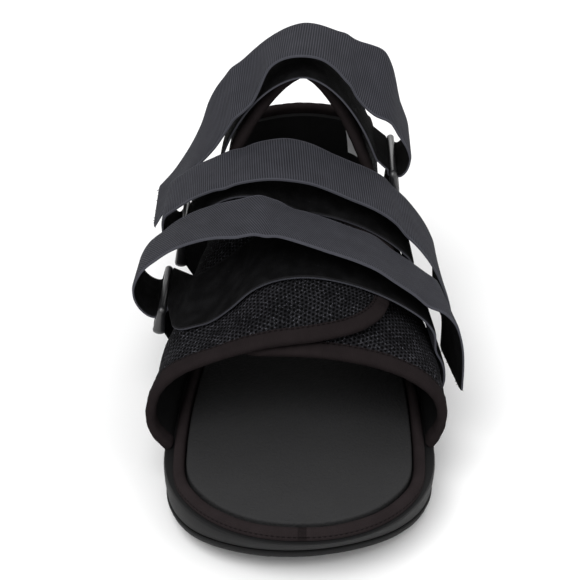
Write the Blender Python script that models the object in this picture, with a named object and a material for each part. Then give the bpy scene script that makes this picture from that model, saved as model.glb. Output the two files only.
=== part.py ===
"""Post operative shoe: a wrapped mesh upper with an open toe on a thick moulded sole.

Three straps each start at the sole, cross the shoe, turn round a ring and fold back.
Metres, +Z up, toe at -Y, heel at +Y, floor at Z = 0.
"""

import math

import bmesh
import bpy
import numpy as np
from mathutils import Matrix

# Sole sizes
LENGTH = 0.282
BALL_WIDTH = 0.116
SOLE_HEIGHT = 0.030
OUTSOLE_THICKNESS = 0.0045
TOE_SPRING = 0.008
TOE_SETBACK = 0.004
TOE_SKEW = 0.006
TOE_CAP_DEPTH = 0.062
HEEL_CAP_DEPTH = 0.046
SOLE_LIP = 0.0008
SOLE_DRAFT = 0.0016
GROOVE_WIDTH = 0.003
GROOVE_DEPTH = 0.0016

# Footbed sizes
BAND_WIDTH = 0.0052
BAND_HEIGHT = 0.0042
BAND_GROOVE = 0.0006
TOE_LEDGE = 0.0010
BAND_PLAY = 0.0010
INSOLE_RISE = 0.0044
INSOLE_EDGE = 0.0010

# Upper sizes
WRAP_HEIGHT = 0.107
BULGE = 0.008
BELLY_HEIGHT = 0.030
WALL = 0.0026
BINDING_WIDTH = 0.0055
BINDING_STEP = 0.0006
FLAP_LIFT = 0.0058
FRONT_SWEEP = 0.033
HEEL_PAD_THICKNESS = 0.0045

# Strap, ring and tab sizes
STRAP_WIDTH = 0.036
STRAP_THICKNESS = 0.0016
TAB_WIDTH = 0.034
TAB_THICKNESS = 0.0012
ANKLE_PLAY = 0.0012
RING_BAR = 0.0015
RING_END = 0.0026
RING_HEIGHT = 0.0150
RING_SIDE_PLAY = 0.0008

# Clearance between neighbouring pieces
GAP = 0.0003
DRAPE_GAP = 0.0005

# Derived sizes
HALF_BALL = BALL_WIDTH / 2
REACH = HALF_BALL + BULGE
TOE_Y = -LENGTH / 2
HEEL_Y = LENGTH / 2
HEEL_AXIS_ALONG = 0.784
LIFT_ON_UPPER = BINDING_STEP + DRAPE_GAP + STRAP_THICKNESS / 2

# Resolution of the curved pieces
CAP_STEPS = 10
SIDE_STEPS = 18
CAP_POWER = 2.15
BELLY_TURN = 0.2
STRAP_START = 0.07
UNDER_STEPS = 20
LAP_START = 0.38
LAP_RUN = 0.12

# Steps over which the slope of the upper's outer face is read
NEAR_STEP = 0.0008
NEAR_TURN = 0.02


class Table:
    """Rows of shares under named columns, read between the rows by a curve that never overshoots."""

    def __init__(self, columns, rows):
        self.columns = columns.split()
        self.values = np.array(rows, float)

    def at(self, column, place):
        """Value of a column at a place along the first column."""
        x = self.values[:, 0]
        y = self.values[:, self.columns.index(column)]
        step = np.diff(x)
        rise = np.diff(y) / step
        slope = np.zeros(len(x))
        for i in range(1, len(x) - 1):
            if rise[i - 1] * rise[i] > 0:
                slope[i] = 2 * rise[i - 1] * rise[i] / (rise[i - 1] + rise[i])
        place = float(np.clip(place, x[0], x[-1]))
        i = int(np.clip(np.searchsorted(x, place) - 1, 0, len(step) - 1))
        t = (place - x[i]) / step[i]
        start = (1 + 2 * t) * (1 - t) ** 2 * y[i] + t * (1 - t) ** 2 * step[i] * slope[i]
        end = t * t * (3 - 2 * t) * y[i + 1] + t * t * (t - 1) * step[i] * slope[i + 1]
        return start + end

    def rows(self):
        """Each row as a dictionary of its columns."""
        return [dict(zip(self.columns, row)) for row in self.values]


# along: share of the length from the toe; left and right: share of half the ball width;
# spring: share of the toe spring; top: share of the sole height
SOLE = Table("along left right spring top", [
    (0.00, 1.000, 1.000, 1.00, 0.68),
    (0.07, 1.000, 1.000, 0.64, 0.68),
    (0.14, 1.000, 1.000, 0.32, 0.68),
    (0.21, 1.000, 1.000, 0.08, 0.68),
    (0.28, 0.995, 0.998, 0.00, 0.69),
    (0.44, 0.925, 0.950, 0.00, 0.75),
    (0.54, 0.850, 0.885, 0.14, 0.81),
    (0.65, 0.790, 0.815, 0.14, 0.87),
    (0.75, 0.755, 0.765, 0.00, 0.93),
    (0.85, 0.735, 0.738, 0.00, 0.98),
    (0.94, 0.730, 0.730, 0.00, 1.00),
    (1.00, 0.730, 0.730, 0.15, 1.00),
])

# along: share of the length from the toe; bulge: share of the bulge, outwards from the sole edge;
# belly: share of the belly height; top: share of the wrap height; square: power of that side's arch
WRAP = Table("along bulge_left bulge_right belly top square_left square_right", [
    (0.20, 1.00, 0.55, 0.43, 0.345, 2.5, 2.4),
    (0.26, 0.95, 0.66, 0.43, 0.405, 2.4, 2.2),
    (0.34, 0.75, 0.66, 0.45, 0.475, 2.2, 1.9),
    (0.43, 0.50, 0.45, 0.50, 0.515, 2.0, 1.75),
    (0.50, 0.42, 0.20, 0.60, 0.522, 2.0, 1.80),
    (0.57, 0.25, 0.05, 0.70, 0.550, 2.0, 2.0),
    (0.63, 0.08, -0.35, 0.80, 0.610, 2.0, 2.0),
    (0.66, 0.00, -0.62, 0.88, 0.700, 1.9, 1.9),
    (0.68, -0.05, -0.75, 0.92, 0.880, 1.8, 1.8),
    (0.71, -0.12, -0.85, 0.95, 1.000, 1.7, 1.7),
    (0.75, -0.25, -0.85, 0.95, 1.000, 1.7, 1.7),
    (0.80, -0.30, -0.70, 0.85, 0.970, 1.8, 1.8),
    (0.89, -0.25, -0.35, 0.70, 0.850, 2.2, 2.2),
    (1.00, -0.20, -0.20, 0.60, 0.820, 2.2, 2.2),
])

# The hollow that the front strap presses into the left side: its middle along the shoe as a share of the
# length and across it as a turn, its reach both ways in the same shares, and its depth in wrap heights
HOLLOW_ALONG = 0.36
HOLLOW_TURN = 0.70
HOLLOW_REACH_ALONG = 0.085
HOLLOW_REACH_TURN = 0.16
HOLLOW_DEPTH = 0.080

# along: share of the length from the toe; left and right: how far the wall of that side runs,
# where 0 is the sole edge, 1 the middle of the instep and more than 1 is past the middle
EDGE = Table("along left right", [
    (0.200, 1.24, 1.18),
    (0.260, 1.30, 1.20),
    (0.380, 1.38, 1.20),
    (0.480, 1.43, 1.18),
    (0.510, 1.42, 1.05),
    (0.530, 1.34, 0.85),
    (0.550, 1.10, 0.68),
    (0.570, 0.82, 0.56),
    (0.590, 0.60, 0.50),
    (0.615, 0.47, 0.46),
    (0.655, 0.42, 0.47),
    (0.675, 0.46, 0.56),
    (0.690, 0.62, 0.68),
    (0.702, 0.82, 0.84),
    (0.714, 0.95, 0.95),
    (0.758, 0.95, 0.95),
    (0.775, 0.89, 0.89),
    (0.790, 0.78, 0.78),
    (0.810, 0.65, 0.65),
    (0.832, 0.56, 0.56),
    (0.860, 0.51, 0.51),
    (0.900, 0.48, 0.48),
    (1.000, 0.46, 0.46),
])

# turn: place across the arch, 0 at the sole edge, 1 in the middle, 2 at the other sole edge;
# sweep: share of the front sweep by which a flap's front edge runs back there
LEFT_FRONT = Table("turn sweep", [
    (0.00, 0.00), (0.20, 0.07), (0.60, 0.18), (1.00, 0.33), (1.12, 0.46), (1.24, 0.70), (1.40, 1.00),
])
RIGHT_FRONT = Table("turn sweep", [
    (0.00, 0.10), (0.20, 0.15), (0.60, 0.22), (1.00, 0.30), (1.22, 0.38), (1.40, 0.42),
])
FRONT_ALONG = 0.2234
SWEEP_END_ALONG = 0.47

# turn: place across the arch, from the anchored side's sole edge to the ring's side;
# along: middle of the strap there, as a share of the length
UNDER_FRONT = Table("turn along", [
    (0.07, 0.404), (0.25, 0.404), (0.60, 0.418), (1.00, 0.430), (1.15, 0.426),
    (1.30, 0.398), (1.45, 0.392), (1.58, 0.430), (1.66, 0.468),
])
UNDER_MID = Table("turn along", [
    (0.07, 0.567), (0.25, 0.569), (0.60, 0.578), (1.00, 0.590), (1.30, 0.600), (1.45, 0.612),
])
UNDER_ANKLE = Table("turn along", [
    (0.07, 0.810), (0.25, 0.795), (0.60, 0.752), (1.00, 0.732), (1.30, 0.732), (1.55, 0.734),
])

# across: share of the reach, half the ball width and the bulge together;
# along: share of the length from the toe; height: share of the wrap height above the sole edge;
# tilt: how much higher the heel-side edge is, as a share of the wrap height
OUTER_FRONT = Table("across along height tilt", [
    (-0.996, 0.491, 0.232, -0.019),
    (-1.060, 0.491, 0.245, -0.026),
    (-1.120, 0.491, 0.290, -0.040),
    (-1.134, 0.491, 0.352, -0.056),
    (-1.072, 0.489, 0.437, -0.056),
    (-0.970, 0.486, 0.499, -0.056),
    (-0.864, 0.479, 0.561, -0.047),
    (-0.727, 0.466, 0.624, -0.037),
    (-0.576, 0.454, 0.672, -0.028),
    (-0.424, 0.443, 0.704, -0.009),
    (-0.303, 0.436, 0.730, -0.009),
    (-0.152, 0.431, 0.723, -0.023),
    (0.000, 0.427, 0.694, -0.037),
    (0.182, 0.424, 0.657, -0.037),
    (0.333, 0.422, 0.624, -0.042),
    (0.485, 0.420, 0.586, -0.036),
    (0.606, 0.418, 0.530, -0.045),
    (0.727, 0.415, 0.480, -0.045),
    (0.848, 0.411, 0.429, -0.047),
    (0.939, 0.410, 0.396, -0.047),
    (1.005, 0.408, 0.345, -0.037),
    (1.045, 0.406, 0.261, -0.019),
    (1.060, 0.404, 0.168, 0.000),
    (1.060, 0.404, 0.056, 0.000),
])
OUTER_MID = Table("across along height tilt", [
    (-0.915, 0.646, 0.312, 0.000),
    (-0.966, 0.643, 0.351, 0.000),
    (-0.985, 0.638, 0.422, 0.000),
    (-0.962, 0.632, 0.488, -0.009),
    (-0.879, 0.625, 0.540, -0.009),
    (-0.780, 0.618, 0.593, -0.009),
    (-0.667, 0.609, 0.641, -0.009),
    (-0.515, 0.603, 0.690, 0.000),
    (-0.364, 0.596, 0.728, 0.009),
    (-0.227, 0.590, 0.753, 0.019),
    (-0.091, 0.587, 0.758, 0.028),
    (0.061, 0.585, 0.740, 0.019),
    (0.197, 0.582, 0.707, 0.009),
    (0.333, 0.580, 0.671, 0.009),
    (0.470, 0.578, 0.636, 0.009),
    (0.591, 0.576, 0.592, 0.009),
    (0.697, 0.574, 0.529, 0.000),
    (0.788, 0.573, 0.461, 0.000),
    (0.871, 0.571, 0.391, -0.009),
    (0.939, 0.569, 0.312, -0.019),
    (0.992, 0.567, 0.219, -0.019),
    (1.030, 0.566, 0.126, 0.000),
    (1.045, 0.564, 0.023, 0.000),
])
OUTER_ANKLE = Table("across along height tilt", [
    (0.700, 0.734, 0.545, 0.000),
    (0.742, 0.734, 0.575, 0.000),
    (0.762, 0.736, 0.626, 0.000),
    (0.739, 0.738, 0.687, 0.000),
    (0.700, 0.738, 0.752, 0.000),
    (0.674, 0.738, 0.817, 0.019),
    (0.641, 0.738, 0.874, 0.075),
    (0.583, 0.738, 0.925, 0.125),
    (0.500, 0.738, 0.965, 0.103),
    (0.394, 0.738, 1.009, 0.056),
    (0.273, 0.738, 1.056, 0.033),
    (0.136, 0.738, 1.098, 0.019),
    (0.000, 0.738, 1.114, 0.014),
    (-0.136, 0.738, 1.095, 0.000),
    (-0.258, 0.738, 1.053, -0.009),
    (-0.348, 0.738, 0.995, 0.014),
    (-0.439, 0.738, 0.934, 0.028),
    (-0.545, 0.738, 0.869, 0.033),
    (-0.636, 0.739, 0.794, 0.037),
    (-0.705, 0.744, 0.710, 0.028),
    (-0.758, 0.754, 0.610, 0.009),
    (-0.833, 0.766, 0.505, -0.009),
    (-0.924, 0.778, 0.395, -0.009),
    (-1.015, 0.785, 0.300, 0.000),
    (-1.114, 0.790, 0.205, 0.037),
])

# Places in the air where the middle strap's lower layer bridges the left ankle flap
BRIDGE_MID = Table("across along height tilt", [
    (-0.200, 0.600, 0.640, 0.020),
    (-0.370, 0.606, 0.655, 0.030),
    (-0.550, 0.614, 0.625, 0.040),
    (-0.735, 0.630, 0.510, 0.020),
])

# anchor: side where the strap starts; last: turn at which it leaves the upper; over_flap: whether it
# crosses the lapping flap; play: extra room above the upper; arch_from and arch_to: shares of the length
# between which it reads the arch, because a taut strap bridges the hollow that the flaps leave
STRAPS = {
    "front": dict(under=UNDER_FRONT, bridge=None, outer=OUTER_FRONT, anchor=1, last=1.55, over_flap=True,
                  play=0.0, arch_from=0.20, arch_to=0.60),
    "mid": dict(under=UNDER_MID, bridge=BRIDGE_MID, outer=OUTER_MID, anchor=1, last=1.00, over_flap=True,
                play=0.0, arch_from=0.20, arch_to=0.60),
    "ankle": dict(under=UNDER_ANKLE, bridge=None, outer=OUTER_ANKLE, anchor=-1, last=1.50, over_flap=False,
                  play=ANKLE_PLAY, arch_from=0.715, arch_to=0.765),
}

# side: -1 left, +1 right; across, along and height place the middle of the upper bar, in the same
# shares as the straps; lean: how far the lower bar stands out, as a share of the ring height
RINGS = {
    "front": dict(side=-1, across=-0.944, along=0.491, height=0.283, tilt=-0.015, lean=0.16),
    "mid": dict(side=-1, across=-0.858, along=0.649, height=0.350, tilt=0.0, lean=0.05),
    "ankle": dict(side=1, across=0.644, along=0.734, height=0.568, tilt=0.0, lean=0.05),
}


def y_at(along):
    """Place along the shoe from its share of the length."""
    return TOE_Y + along * LENGTH


def along_at(y):
    """Share of the length from the toe at a place along the shoe."""
    return (y - TOE_Y) / LENGTH


def sole_top(y):
    """Height of the midsole's upper face."""
    return SOLE.at("top", along_at(y)) * SOLE_HEIGHT


def wrap_base(y):
    """Height at which the upper meets the sole."""
    return sole_top(y) + GAP


def cap_share(depth, cap_depth):
    """Width left in a round end, from 0 at its tip to 1 where the sides begin."""
    if depth >= cap_depth:
        return 1.0
    rest = 1 - max(depth, 0) / cap_depth
    return (1 - rest ** CAP_POWER) ** (1 / CAP_POWER)


def rim_half(side, y):
    """Half width of the sole's outline on one side, at one place along the shoe."""
    column = "left" if side < 0 else "right"
    share = SOLE.at(column, along_at(y)) * HALF_BALL
    return share * cap_share(y - TOE_Y, TOE_CAP_DEPTH) * cap_share(HEEL_Y - y, HEEL_CAP_DEPTH)


def cap_places(depth, steps):
    """Distances from a round end's tip that space its points evenly round the curve."""
    turns = np.linspace(0, math.pi / 2, steps + 1)
    return [depth * (1 - math.cos(turn) ** (2 / CAP_POWER)) for turn in turns]


def outline_places():
    """Places along one side of the sole from the toe tip to the heel tip."""
    toe = [TOE_Y + d for d in cap_places(TOE_CAP_DEPTH, CAP_STEPS)]
    heel = [HEEL_Y - d for d in cap_places(HEEL_CAP_DEPTH, CAP_STEPS)]
    side = list(np.linspace(toe[-1], heel[-1], SIDE_STEPS + 1)[1:-1])
    return toe + side + heel[::-1]


def outline():
    """Closed outline of the sole: toe tip, left side, heel tip, right side."""
    places = outline_places()
    left = [(-rim_half(-1, y), y) for y in places]
    right = [(rim_half(1, y), y) for y in places[1:-1]]
    return np.array(left + right[::-1])


def inset(loop, distance):
    """The outline moved inwards by a distance, or by one distance for each point."""
    ahead = np.roll(loop, -1, axis=0) - np.roll(loop, 1, axis=0)
    outward = np.stack([-ahead[:, 1], ahead[:, 0]], axis=1)
    outward /= np.linalg.norm(outward, axis=1)[:, None]
    centre = loop.mean(axis=0)
    if ((loop - centre) * outward).sum() < 0:
        outward = -outward
    return loop - outward * np.broadcast_to(distance, len(loop))[:, None]


def toe_share(y):
    """1 at the toe tip, fading to 0 where the toe's round end begins."""
    depth = np.clip((y - TOE_Y) / TOE_CAP_DEPTH, 0, 1)
    return (1 - depth) ** 2


def add_object(name, mesh_data, colour, roughness, metallic=0.0):
    """Put a bmesh in the scene as an object with its own material."""
    mesh = bpy.data.meshes.new(name)
    bmesh.ops.recalc_face_normals(mesh_data, faces=mesh_data.faces)
    mesh_data.to_mesh(mesh)
    mesh_data.free()
    mesh.shade_smooth()
    mesh.set_sharp_from_angle(angle=math.radians(40))
    material = bpy.data.materials.new(name)
    material.use_nodes = True
    surface = material.node_tree.nodes["Principled BSDF"]
    surface.inputs["Base Color"].default_value = (*colour, 1)
    surface.inputs["Roughness"].default_value = roughness
    surface.inputs["Metallic"].default_value = metallic
    mesh.materials.append(material)
    piece = bpy.data.objects.new(name, mesh)
    bpy.context.scene.collection.objects.link(piece)
    return piece


def ladder(mesh_data, ring):
    """Close a stacked outline with strips that run from its left side to its right side."""
    count = len(ring)
    half = count // 2
    mesh_data.faces.new((ring[0], ring[1], ring[-1]))
    for i in range(1, half - 1):
        mesh_data.faces.new((ring[i], ring[i + 1], ring[count - i - 1], ring[count - i]))
    mesh_data.faces.new((ring[half - 1], ring[half], ring[half + 1]))


def stack(loops):
    """Closed solid through outlines stacked from bottom to top."""
    mesh_data = bmesh.new()
    rings = [[mesh_data.verts.new(p) for p in loop] for loop in loops]
    for low, high in zip(rings, rings[1:]):
        for i in range(len(low)):
            j = (i + 1) % len(low)
            mesh_data.faces.new((low[i], low[j], high[j], high[i]))
    ladder(mesh_data, rings[0])
    ladder(mesh_data, rings[-1])
    return mesh_data


def level(loop, heights, skew=0.0):
    """Lift an outline to its heights, leaning its toe sideways by the skew."""
    x = loop[:, 0] - skew * toe_share(loop[:, 1])
    return np.stack([x, loop[:, 1], heights], axis=1)


def sole_bottom(y):
    """Height of the outsole's lower face above the floor."""
    return SOLE.at("spring", along_at(y)) * TOE_SPRING


def sole_levels(steps):
    """Outlines of the sole's side: each step has a rise, an inset and a share of the way up."""
    rim = outline()
    base = np.array([sole_bottom(y) for y in rim[:, 1]])
    setback = TOE_SETBACK * toe_share(rim[:, 1])
    loops = []
    for rise, drawn_in, share in steps:
        top = np.array([sole_top(y) for y in rim[:, 1]])
        heights = base + OUTSOLE_THICKNESS + rise + share * (top - base - OUTSOLE_THICKNESS - rise)
        loop = inset(rim, drawn_in + setback * (1 - share))
        loops.append(level(loop, heights, TOE_SKEW * (1 - share)))
    return loops


def cut_grooves(outsole):
    """Shallow grooves across the tread under the forefoot and the heel."""
    cutter_data = bmesh.new()
    for along in (0.29, 0.33, 0.37, 0.41, 0.76, 0.80, 0.84, 0.88):
        y = y_at(along)
        reach = min(rim_half(-1, y), rim_half(1, y)) * 0.72
        box = bmesh.ops.create_cube(cutter_data, size=1.0)["verts"]
        bmesh.ops.scale(cutter_data, verts=box, vec=(2 * reach, GROOVE_WIDTH, 2 * GROOVE_DEPTH))
        bmesh.ops.translate(cutter_data, verts=box, vec=(0, y, 0))
    mesh = bpy.data.meshes.new("groove_cutter")
    cutter_data.to_mesh(mesh)
    cutter_data.free()
    cutter = bpy.data.objects.new("groove_cutter", mesh)
    bpy.context.scene.collection.objects.link(cutter)
    cutter.hide_render = True
    cutter.display_type = "WIRE"
    cut = outsole.modifiers.new("grooves", "BOOLEAN")
    cut.operation = "DIFFERENCE"
    cut.object = cutter


def build_sole():
    """Outsole with its edge lip, and the midsole block above it."""
    outsole = sole_levels([
        (-OUTSOLE_THICKNESS, SOLE_DRAFT + 2 * SOLE_LIP, 0),
        (-OUTSOLE_THICKNESS * 0.7, SOLE_DRAFT, 0),
        (-OUTSOLE_THICKNESS * 0.2, SOLE_DRAFT - SOLE_LIP, 0),
        (0, SOLE_DRAFT - SOLE_LIP / 2, 0),
    ])
    tread = add_object("outsole", stack(outsole), (0.012, 0.012, 0.013), 0.62)
    cut_grooves(tread)
    midsole = sole_levels([
        (GAP, SOLE_DRAFT + SOLE_LIP, 0),
        (GAP, SOLE_DRAFT * 0.6, 0.18),
        (GAP, SOLE_DRAFT * 0.2, 0.55),
        (GAP, SOLE_DRAFT * 0.1, 0.88),
        (GAP, SOLE_DRAFT * 0.6, 1.0),
    ])
    add_object("midsole", stack(midsole), (0.014, 0.014, 0.015), 0.55)


def band_inset(y):
    """How far the footbed band stands in from the sole's edge: narrow at the toe, wider by the upper."""
    under_upper = SOLE_DRAFT * 0.6 + WALL + BAND_PLAY
    share = np.clip((along_at(y) - 0.10) / (FRONT_ALONG - 0.02 - 0.10), 0, 1)
    share = share * share * (3 - 2 * share)
    return SOLE_DRAFT * 0.6 + TOE_LEDGE * (1 - share) + (under_upper - SOLE_DRAFT * 0.6) * share


def build_footbed():
    """The bound edge round the footbed, and the insole plate inside it."""
    rim = outline()
    base = np.array([sole_top(y) for y in rim[:, 1]]) + GAP
    start = np.array([band_inset(y) for y in rim[:, 1]])
    section = [(0.0, 0.0), (0.0, 0.45), (0.22, 0.85), (0.55, 1.0), (0.9, 0.93), (1.0, 0.7), (1.0, 0.0)]
    mesh_data = bmesh.new()
    rings = []
    for across, up in section:
        loop = level(inset(rim, start + across * BAND_WIDTH), base + up * BAND_HEIGHT)
        rings.append([mesh_data.verts.new(p) for p in loop])
    for low, high in zip(rings, rings[1:] + rings[:1]):
        for i in range(len(low)):
            j = (i + 1) % len(low)
            mesh_data.faces.new((low[i], low[j], high[j], high[i]))
    add_object("footbed_band", mesh_data, (0.020, 0.016, 0.016), 0.8)
    plate = start + BAND_WIDTH + BAND_GROOVE
    loops = [
        level(inset(rim, plate), base),
        level(inset(rim, plate), base + INSOLE_RISE - INSOLE_EDGE),
        level(inset(rim, plate + INSOLE_EDGE * 0.3), base + INSOLE_RISE - INSOLE_EDGE * 0.3),
        level(inset(rim, plate + INSOLE_EDGE), base + INSOLE_RISE),
    ]
    add_object("insole", stack(loops), (0.017, 0.017, 0.018), 0.85)


def hollow(along, side, turn):
    """How far the left side sinks in the hollow under the front strap."""
    if side > 0:
        return 0.0
    away = ((along - HOLLOW_ALONG) / HOLLOW_REACH_ALONG) ** 2 + ((turn - HOLLOW_TURN) / HOLLOW_REACH_TURN) ** 2
    return HOLLOW_DEPTH * WRAP_HEIGHT * math.exp(-away)


def arch_point(y, side, turn, lap=0.0, limits=(0.0, 1.0)):
    """Point of the upper's outer face: turn 0 at the sole edge, 1 at the top, past 1 over the far side.

    Behind the ankle the section turns round a fixed axis, so that the wall closes round the heel.
    lap lifts the top and the far side, for a flap that lies over the other one. limits are the shares
    of the length between which the shape of the arch is read.
    """
    if turn > 1:
        point = arch_point(y, -side, 2 - turn, 0.0, limits)
        low = (2 - turn) < BELLY_TURN
        angle = 0 if low else (2 - turn - BELLY_TURN) / (1 - BELLY_TURN) * math.pi / 2
        share = min((2 - turn) / BELLY_TURN, 1)
        point[0] -= side * lap * math.cos(angle) * share
        point[2] += lap * math.sin(angle)
        return point
    along = min(max(along_at(y), limits[0]), limits[1])
    belly = WRAP.at("belly", along) * BELLY_HEIGHT
    bulge = WRAP.at("bulge_left" if side < 0 else "bulge_right", along) * BULGE
    power = WRAP.at("square_left" if side < 0 else "square_right", along)
    height = WRAP.at("top", along) * WRAP_HEIGHT
    axis_y = min(y, y_at(HEEL_AXIS_ALONG))
    rim_x = side * (rim_half(side, y) - SOLE_DRAFT * 0.6)
    reach = math.hypot(rim_x, y - axis_y)
    if turn < BELLY_TURN:
        rise = turn / BELLY_TURN
        swell = 1 - (1 - rise) ** 2 if bulge > 0 else rise ** 3 * (10 - 15 * rise + 6 * rise * rise)
        radius = reach + bulge * swell
        z = belly * turn / BELLY_TURN
    else:
        angle = (turn - BELLY_TURN) / (1 - BELLY_TURN) * math.pi / 2
        radius = (reach + bulge) * max(math.cos(angle), 0) ** (2 / power)
        z = belly + (height - belly) * math.sin(angle) ** (2 / power) + lap * math.sin(angle)
        z -= hollow(along, side, turn)
    return np.array([rim_x * radius / reach, axis_y + (y - axis_y) * radius / reach, wrap_base(y) + z])


def arch_normal(y, side, turn, lap=0.0, limits=(0.0, 1.0)):
    """Unit normal of the upper's outer face, level at the sole edge so that the wall stands on it."""
    ahead, behind = (arch_point(y, side, max(at, 0), lap, limits) for at in (turn + NEAR_TURN, turn - NEAR_TURN))
    if HEEL_Y - y < NEAR_STEP:
        along = np.array([-side, 0, 0])
    else:
        toward_heel, toward_toe = (arch_point(at, side, turn, lap, limits) for at in (y + NEAR_STEP, y - NEAR_STEP))
        along = toward_heel - toward_toe
    normal = np.cross(along, ahead - behind) * side
    if turn == 0:
        normal[2] = 0
    return normal / np.linalg.norm(normal)


def off_arch(y, side, turn, distance, lap=0.0, limits=(0.0, 1.0)):
    """A point at a distance outside the upper's outer face."""
    return arch_point(y, side, turn, lap, limits) + arch_normal(y, side, turn, lap, limits) * distance


def wall_places():
    """Places of the upper's stations along one side, close together where its edges turn."""
    front = y_at(FRONT_ALONG)
    bound = [front, front + BINDING_WIDTH, front + BINDING_WIDTH * 1.15]
    shares = (0.275, 0.315, 0.355, 0.395, 0.435, 0.475, 0.510, 0.530, 0.545, 0.560, 0.575, 0.590, 0.610, 0.635,
              0.655, 0.668, 0.679, 0.688, 0.696, 0.703, 0.710, 0.718, 0.738, 0.758, 0.770, 0.780, 0.791, 0.804, 0.820)
    heel = [HEEL_Y - d for d in cap_places(HEEL_CAP_DEPTH, 8)]
    return bound + [y_at(share) for share in shares] + heel[::-1]


def wall_stations():
    """Curves across the upper's outer face, from the left front round the heel to the right front."""
    front = y_at(FRONT_ALONG)
    sweep_end = y_at(SWEEP_END_ALONG)
    places = wall_places()
    sides = [(-1, y) for y in places] + [(1, y) for y in places[-2::-1]]
    stations = []
    for side, y in sides:
        edge = EDGE.at("left" if side < 0 else "right", along_at(y))
        sweep = LEFT_FRONT if side < 0 else RIGHT_FRONT
        fade = max(0.0, 1 - (y - front) / (sweep_end - front))
        lap_span = max(0.0, min(1.0, (y_at(0.60) - y) / (y_at(0.60) - y_at(0.55))))
        lap = FLAP_LIFT * lap_span if side < 0 else 0.0
        stations.append((side, y, edge, sweep, fade, lap))
    return stations


def station_curve(station, turns, outward=0.0):
    """Points of one station at the given turns, moved back by the front's sweep and off the outer face."""
    side, y, _, sweep, fade, lap = station
    points = []
    for turn, distance in zip(turns, np.broadcast_to(outward, len(turns))):
        here = y + FRONT_SWEEP * sweep.at("sweep", turn) * fade
        points.append(off_arch(here, side, turn, distance, lap))
    return np.array(points)


def wall_rows(station, rows):
    """Turns that space a station's points evenly, with two close rows where the binding begins."""
    edge = station[2]
    fine = np.linspace(0, edge, 60)
    points = station_curve(station, fine)
    run = np.concatenate([[0], np.cumsum(np.linalg.norm(np.diff(points, axis=0), axis=1))])
    marks = list(np.linspace(0, run[-1] - BINDING_WIDTH * 1.15, rows - 2))
    marks += [run[-1] - BINDING_WIDTH, run[-1]]
    return np.interp(marks, run, fine)


def grid_normals(grid):
    """Unit normals of a grid of points."""
    down = np.gradient(grid, axis=0)
    across = np.gradient(grid, axis=1)
    normal = np.cross(down, across)
    return normal / np.linalg.norm(normal, axis=2)[:, :, None]


def sheet(outer, inner):
    """Closed solid between two grids of points."""
    mesh_data = bmesh.new()
    rows, columns = outer.shape[:2]
    faces = []
    for grid in (outer, inner):
        faces.append([[mesh_data.verts.new(p) for p in row] for row in grid])
    for face in faces:
        for i in range(rows - 1):
            for j in range(columns - 1):
                mesh_data.faces.new((face[i][j], face[i + 1][j], face[i + 1][j + 1], face[i][j + 1]))
    out, back = faces
    border = [(i, 0) for i in range(rows)] + [(rows - 1, j) for j in range(1, columns)]
    border += [(i, columns - 1) for i in range(rows - 2, -1, -1)] + [(0, j) for j in range(columns - 2, 0, -1)]
    for k, (i, j) in enumerate(border):
        m, n = border[(k + 1) % len(border)]
        mesh_data.faces.new((out[i][j], out[m][n], back[m][n], back[i][j]))
    return mesh_data


def build_upper(rows=12):
    """The hollow upper in one wall, with its bound edges standing proud."""
    stations = wall_stations()
    outer, inner = [], []
    for i, station in enumerate(stations):
        turns = wall_rows(station, rows)
        step = np.zeros(rows)
        step[-2:] = BINDING_STEP
        if min(i, len(stations) - 1 - i) < 2:
            step[:] = BINDING_STEP
        step[0] = 0
        outer.append(station_curve(station, turns, step))
        inner.append(station_curve(station, turns, -WALL - step / 2))
    add_object("upper", sheet(np.array(outer), np.array(inner)), (0.011, 0.011, 0.013), 0.9)


def build_heel_pad(rows=6):
    """Padded lining that stands inside the heel of the upper."""
    places = [y_at(share) for share in (0.815, 0.835)]
    places += [HEEL_Y - d for d in cap_places(HEEL_CAP_DEPTH, 8)][::-1]
    sides = [(-1, y) for y in places] + [(1, y) for y in places[-2::-1]]
    seat = WALL + BINDING_STEP + GAP
    up = np.sin(np.linspace(0, math.pi, rows))
    round_heel = np.sin(np.linspace(0, math.pi, len(sides))) ** 0.5
    outer, inner = [], []
    for (side, y), middle in zip(sides, round_heel):
        high = min(EDGE.at("left", along_at(y)) - 0.03, 0.5)
        turns = np.linspace(0.07, high, rows)
        depth = HEEL_PAD_THICKNESS * (0.35 + 0.65 * middle) * (0.45 + 0.55 * up)
        outer.append([off_arch(y, side, turn, -seat) for turn in turns])
        inner.append([off_arch(y, side, turn, -seat - thick) for turn, thick in zip(turns, depth)])
    add_object("heel_pad", sheet(np.array(outer), np.array(inner)), (0.010, 0.010, 0.010), 0.6)


def smooth_path(points, cuts):
    """Points of a curve that runs through every given point, with the spans cut up."""
    points = np.asarray(points)
    padded = np.concatenate([[2 * points[0] - points[1]], points, [2 * points[-1] - points[-2]]])
    path = []
    for a, b, c, d in zip(padded, padded[1:], padded[2:], padded[3:]):
        for t in np.arange(cuts) / cuts:
            path.append(0.5 * (2 * b + (c - a) * t + (2 * a - 5 * b + 4 * c - d) * t ** 2
                               + (3 * b - a - 3 * c + d) * t ** 3))
    path.append(points[-1])
    return np.array(path)


def ribbon(sections, thickness):
    """Closed ribbon of even thickness along its cross sections."""
    grid = np.array(sections)
    normal = grid_normals(grid)
    return sheet(grid + normal * thickness / 2, grid - normal * thickness / 2)


def across_strap(width):
    """Offsets of a strap's points from its middle line, from the toe side to the heel side."""
    return np.array([-0.5, 0.0, 0.5]) * width


def strap_lap(turn):
    """How far the lapping flap lifts the strap, at a turn counted from the right side."""
    share = np.clip((turn - LAP_START) / LAP_RUN, 0, 1)
    return FLAP_LIFT * share * share * (3 - 2 * share)


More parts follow.
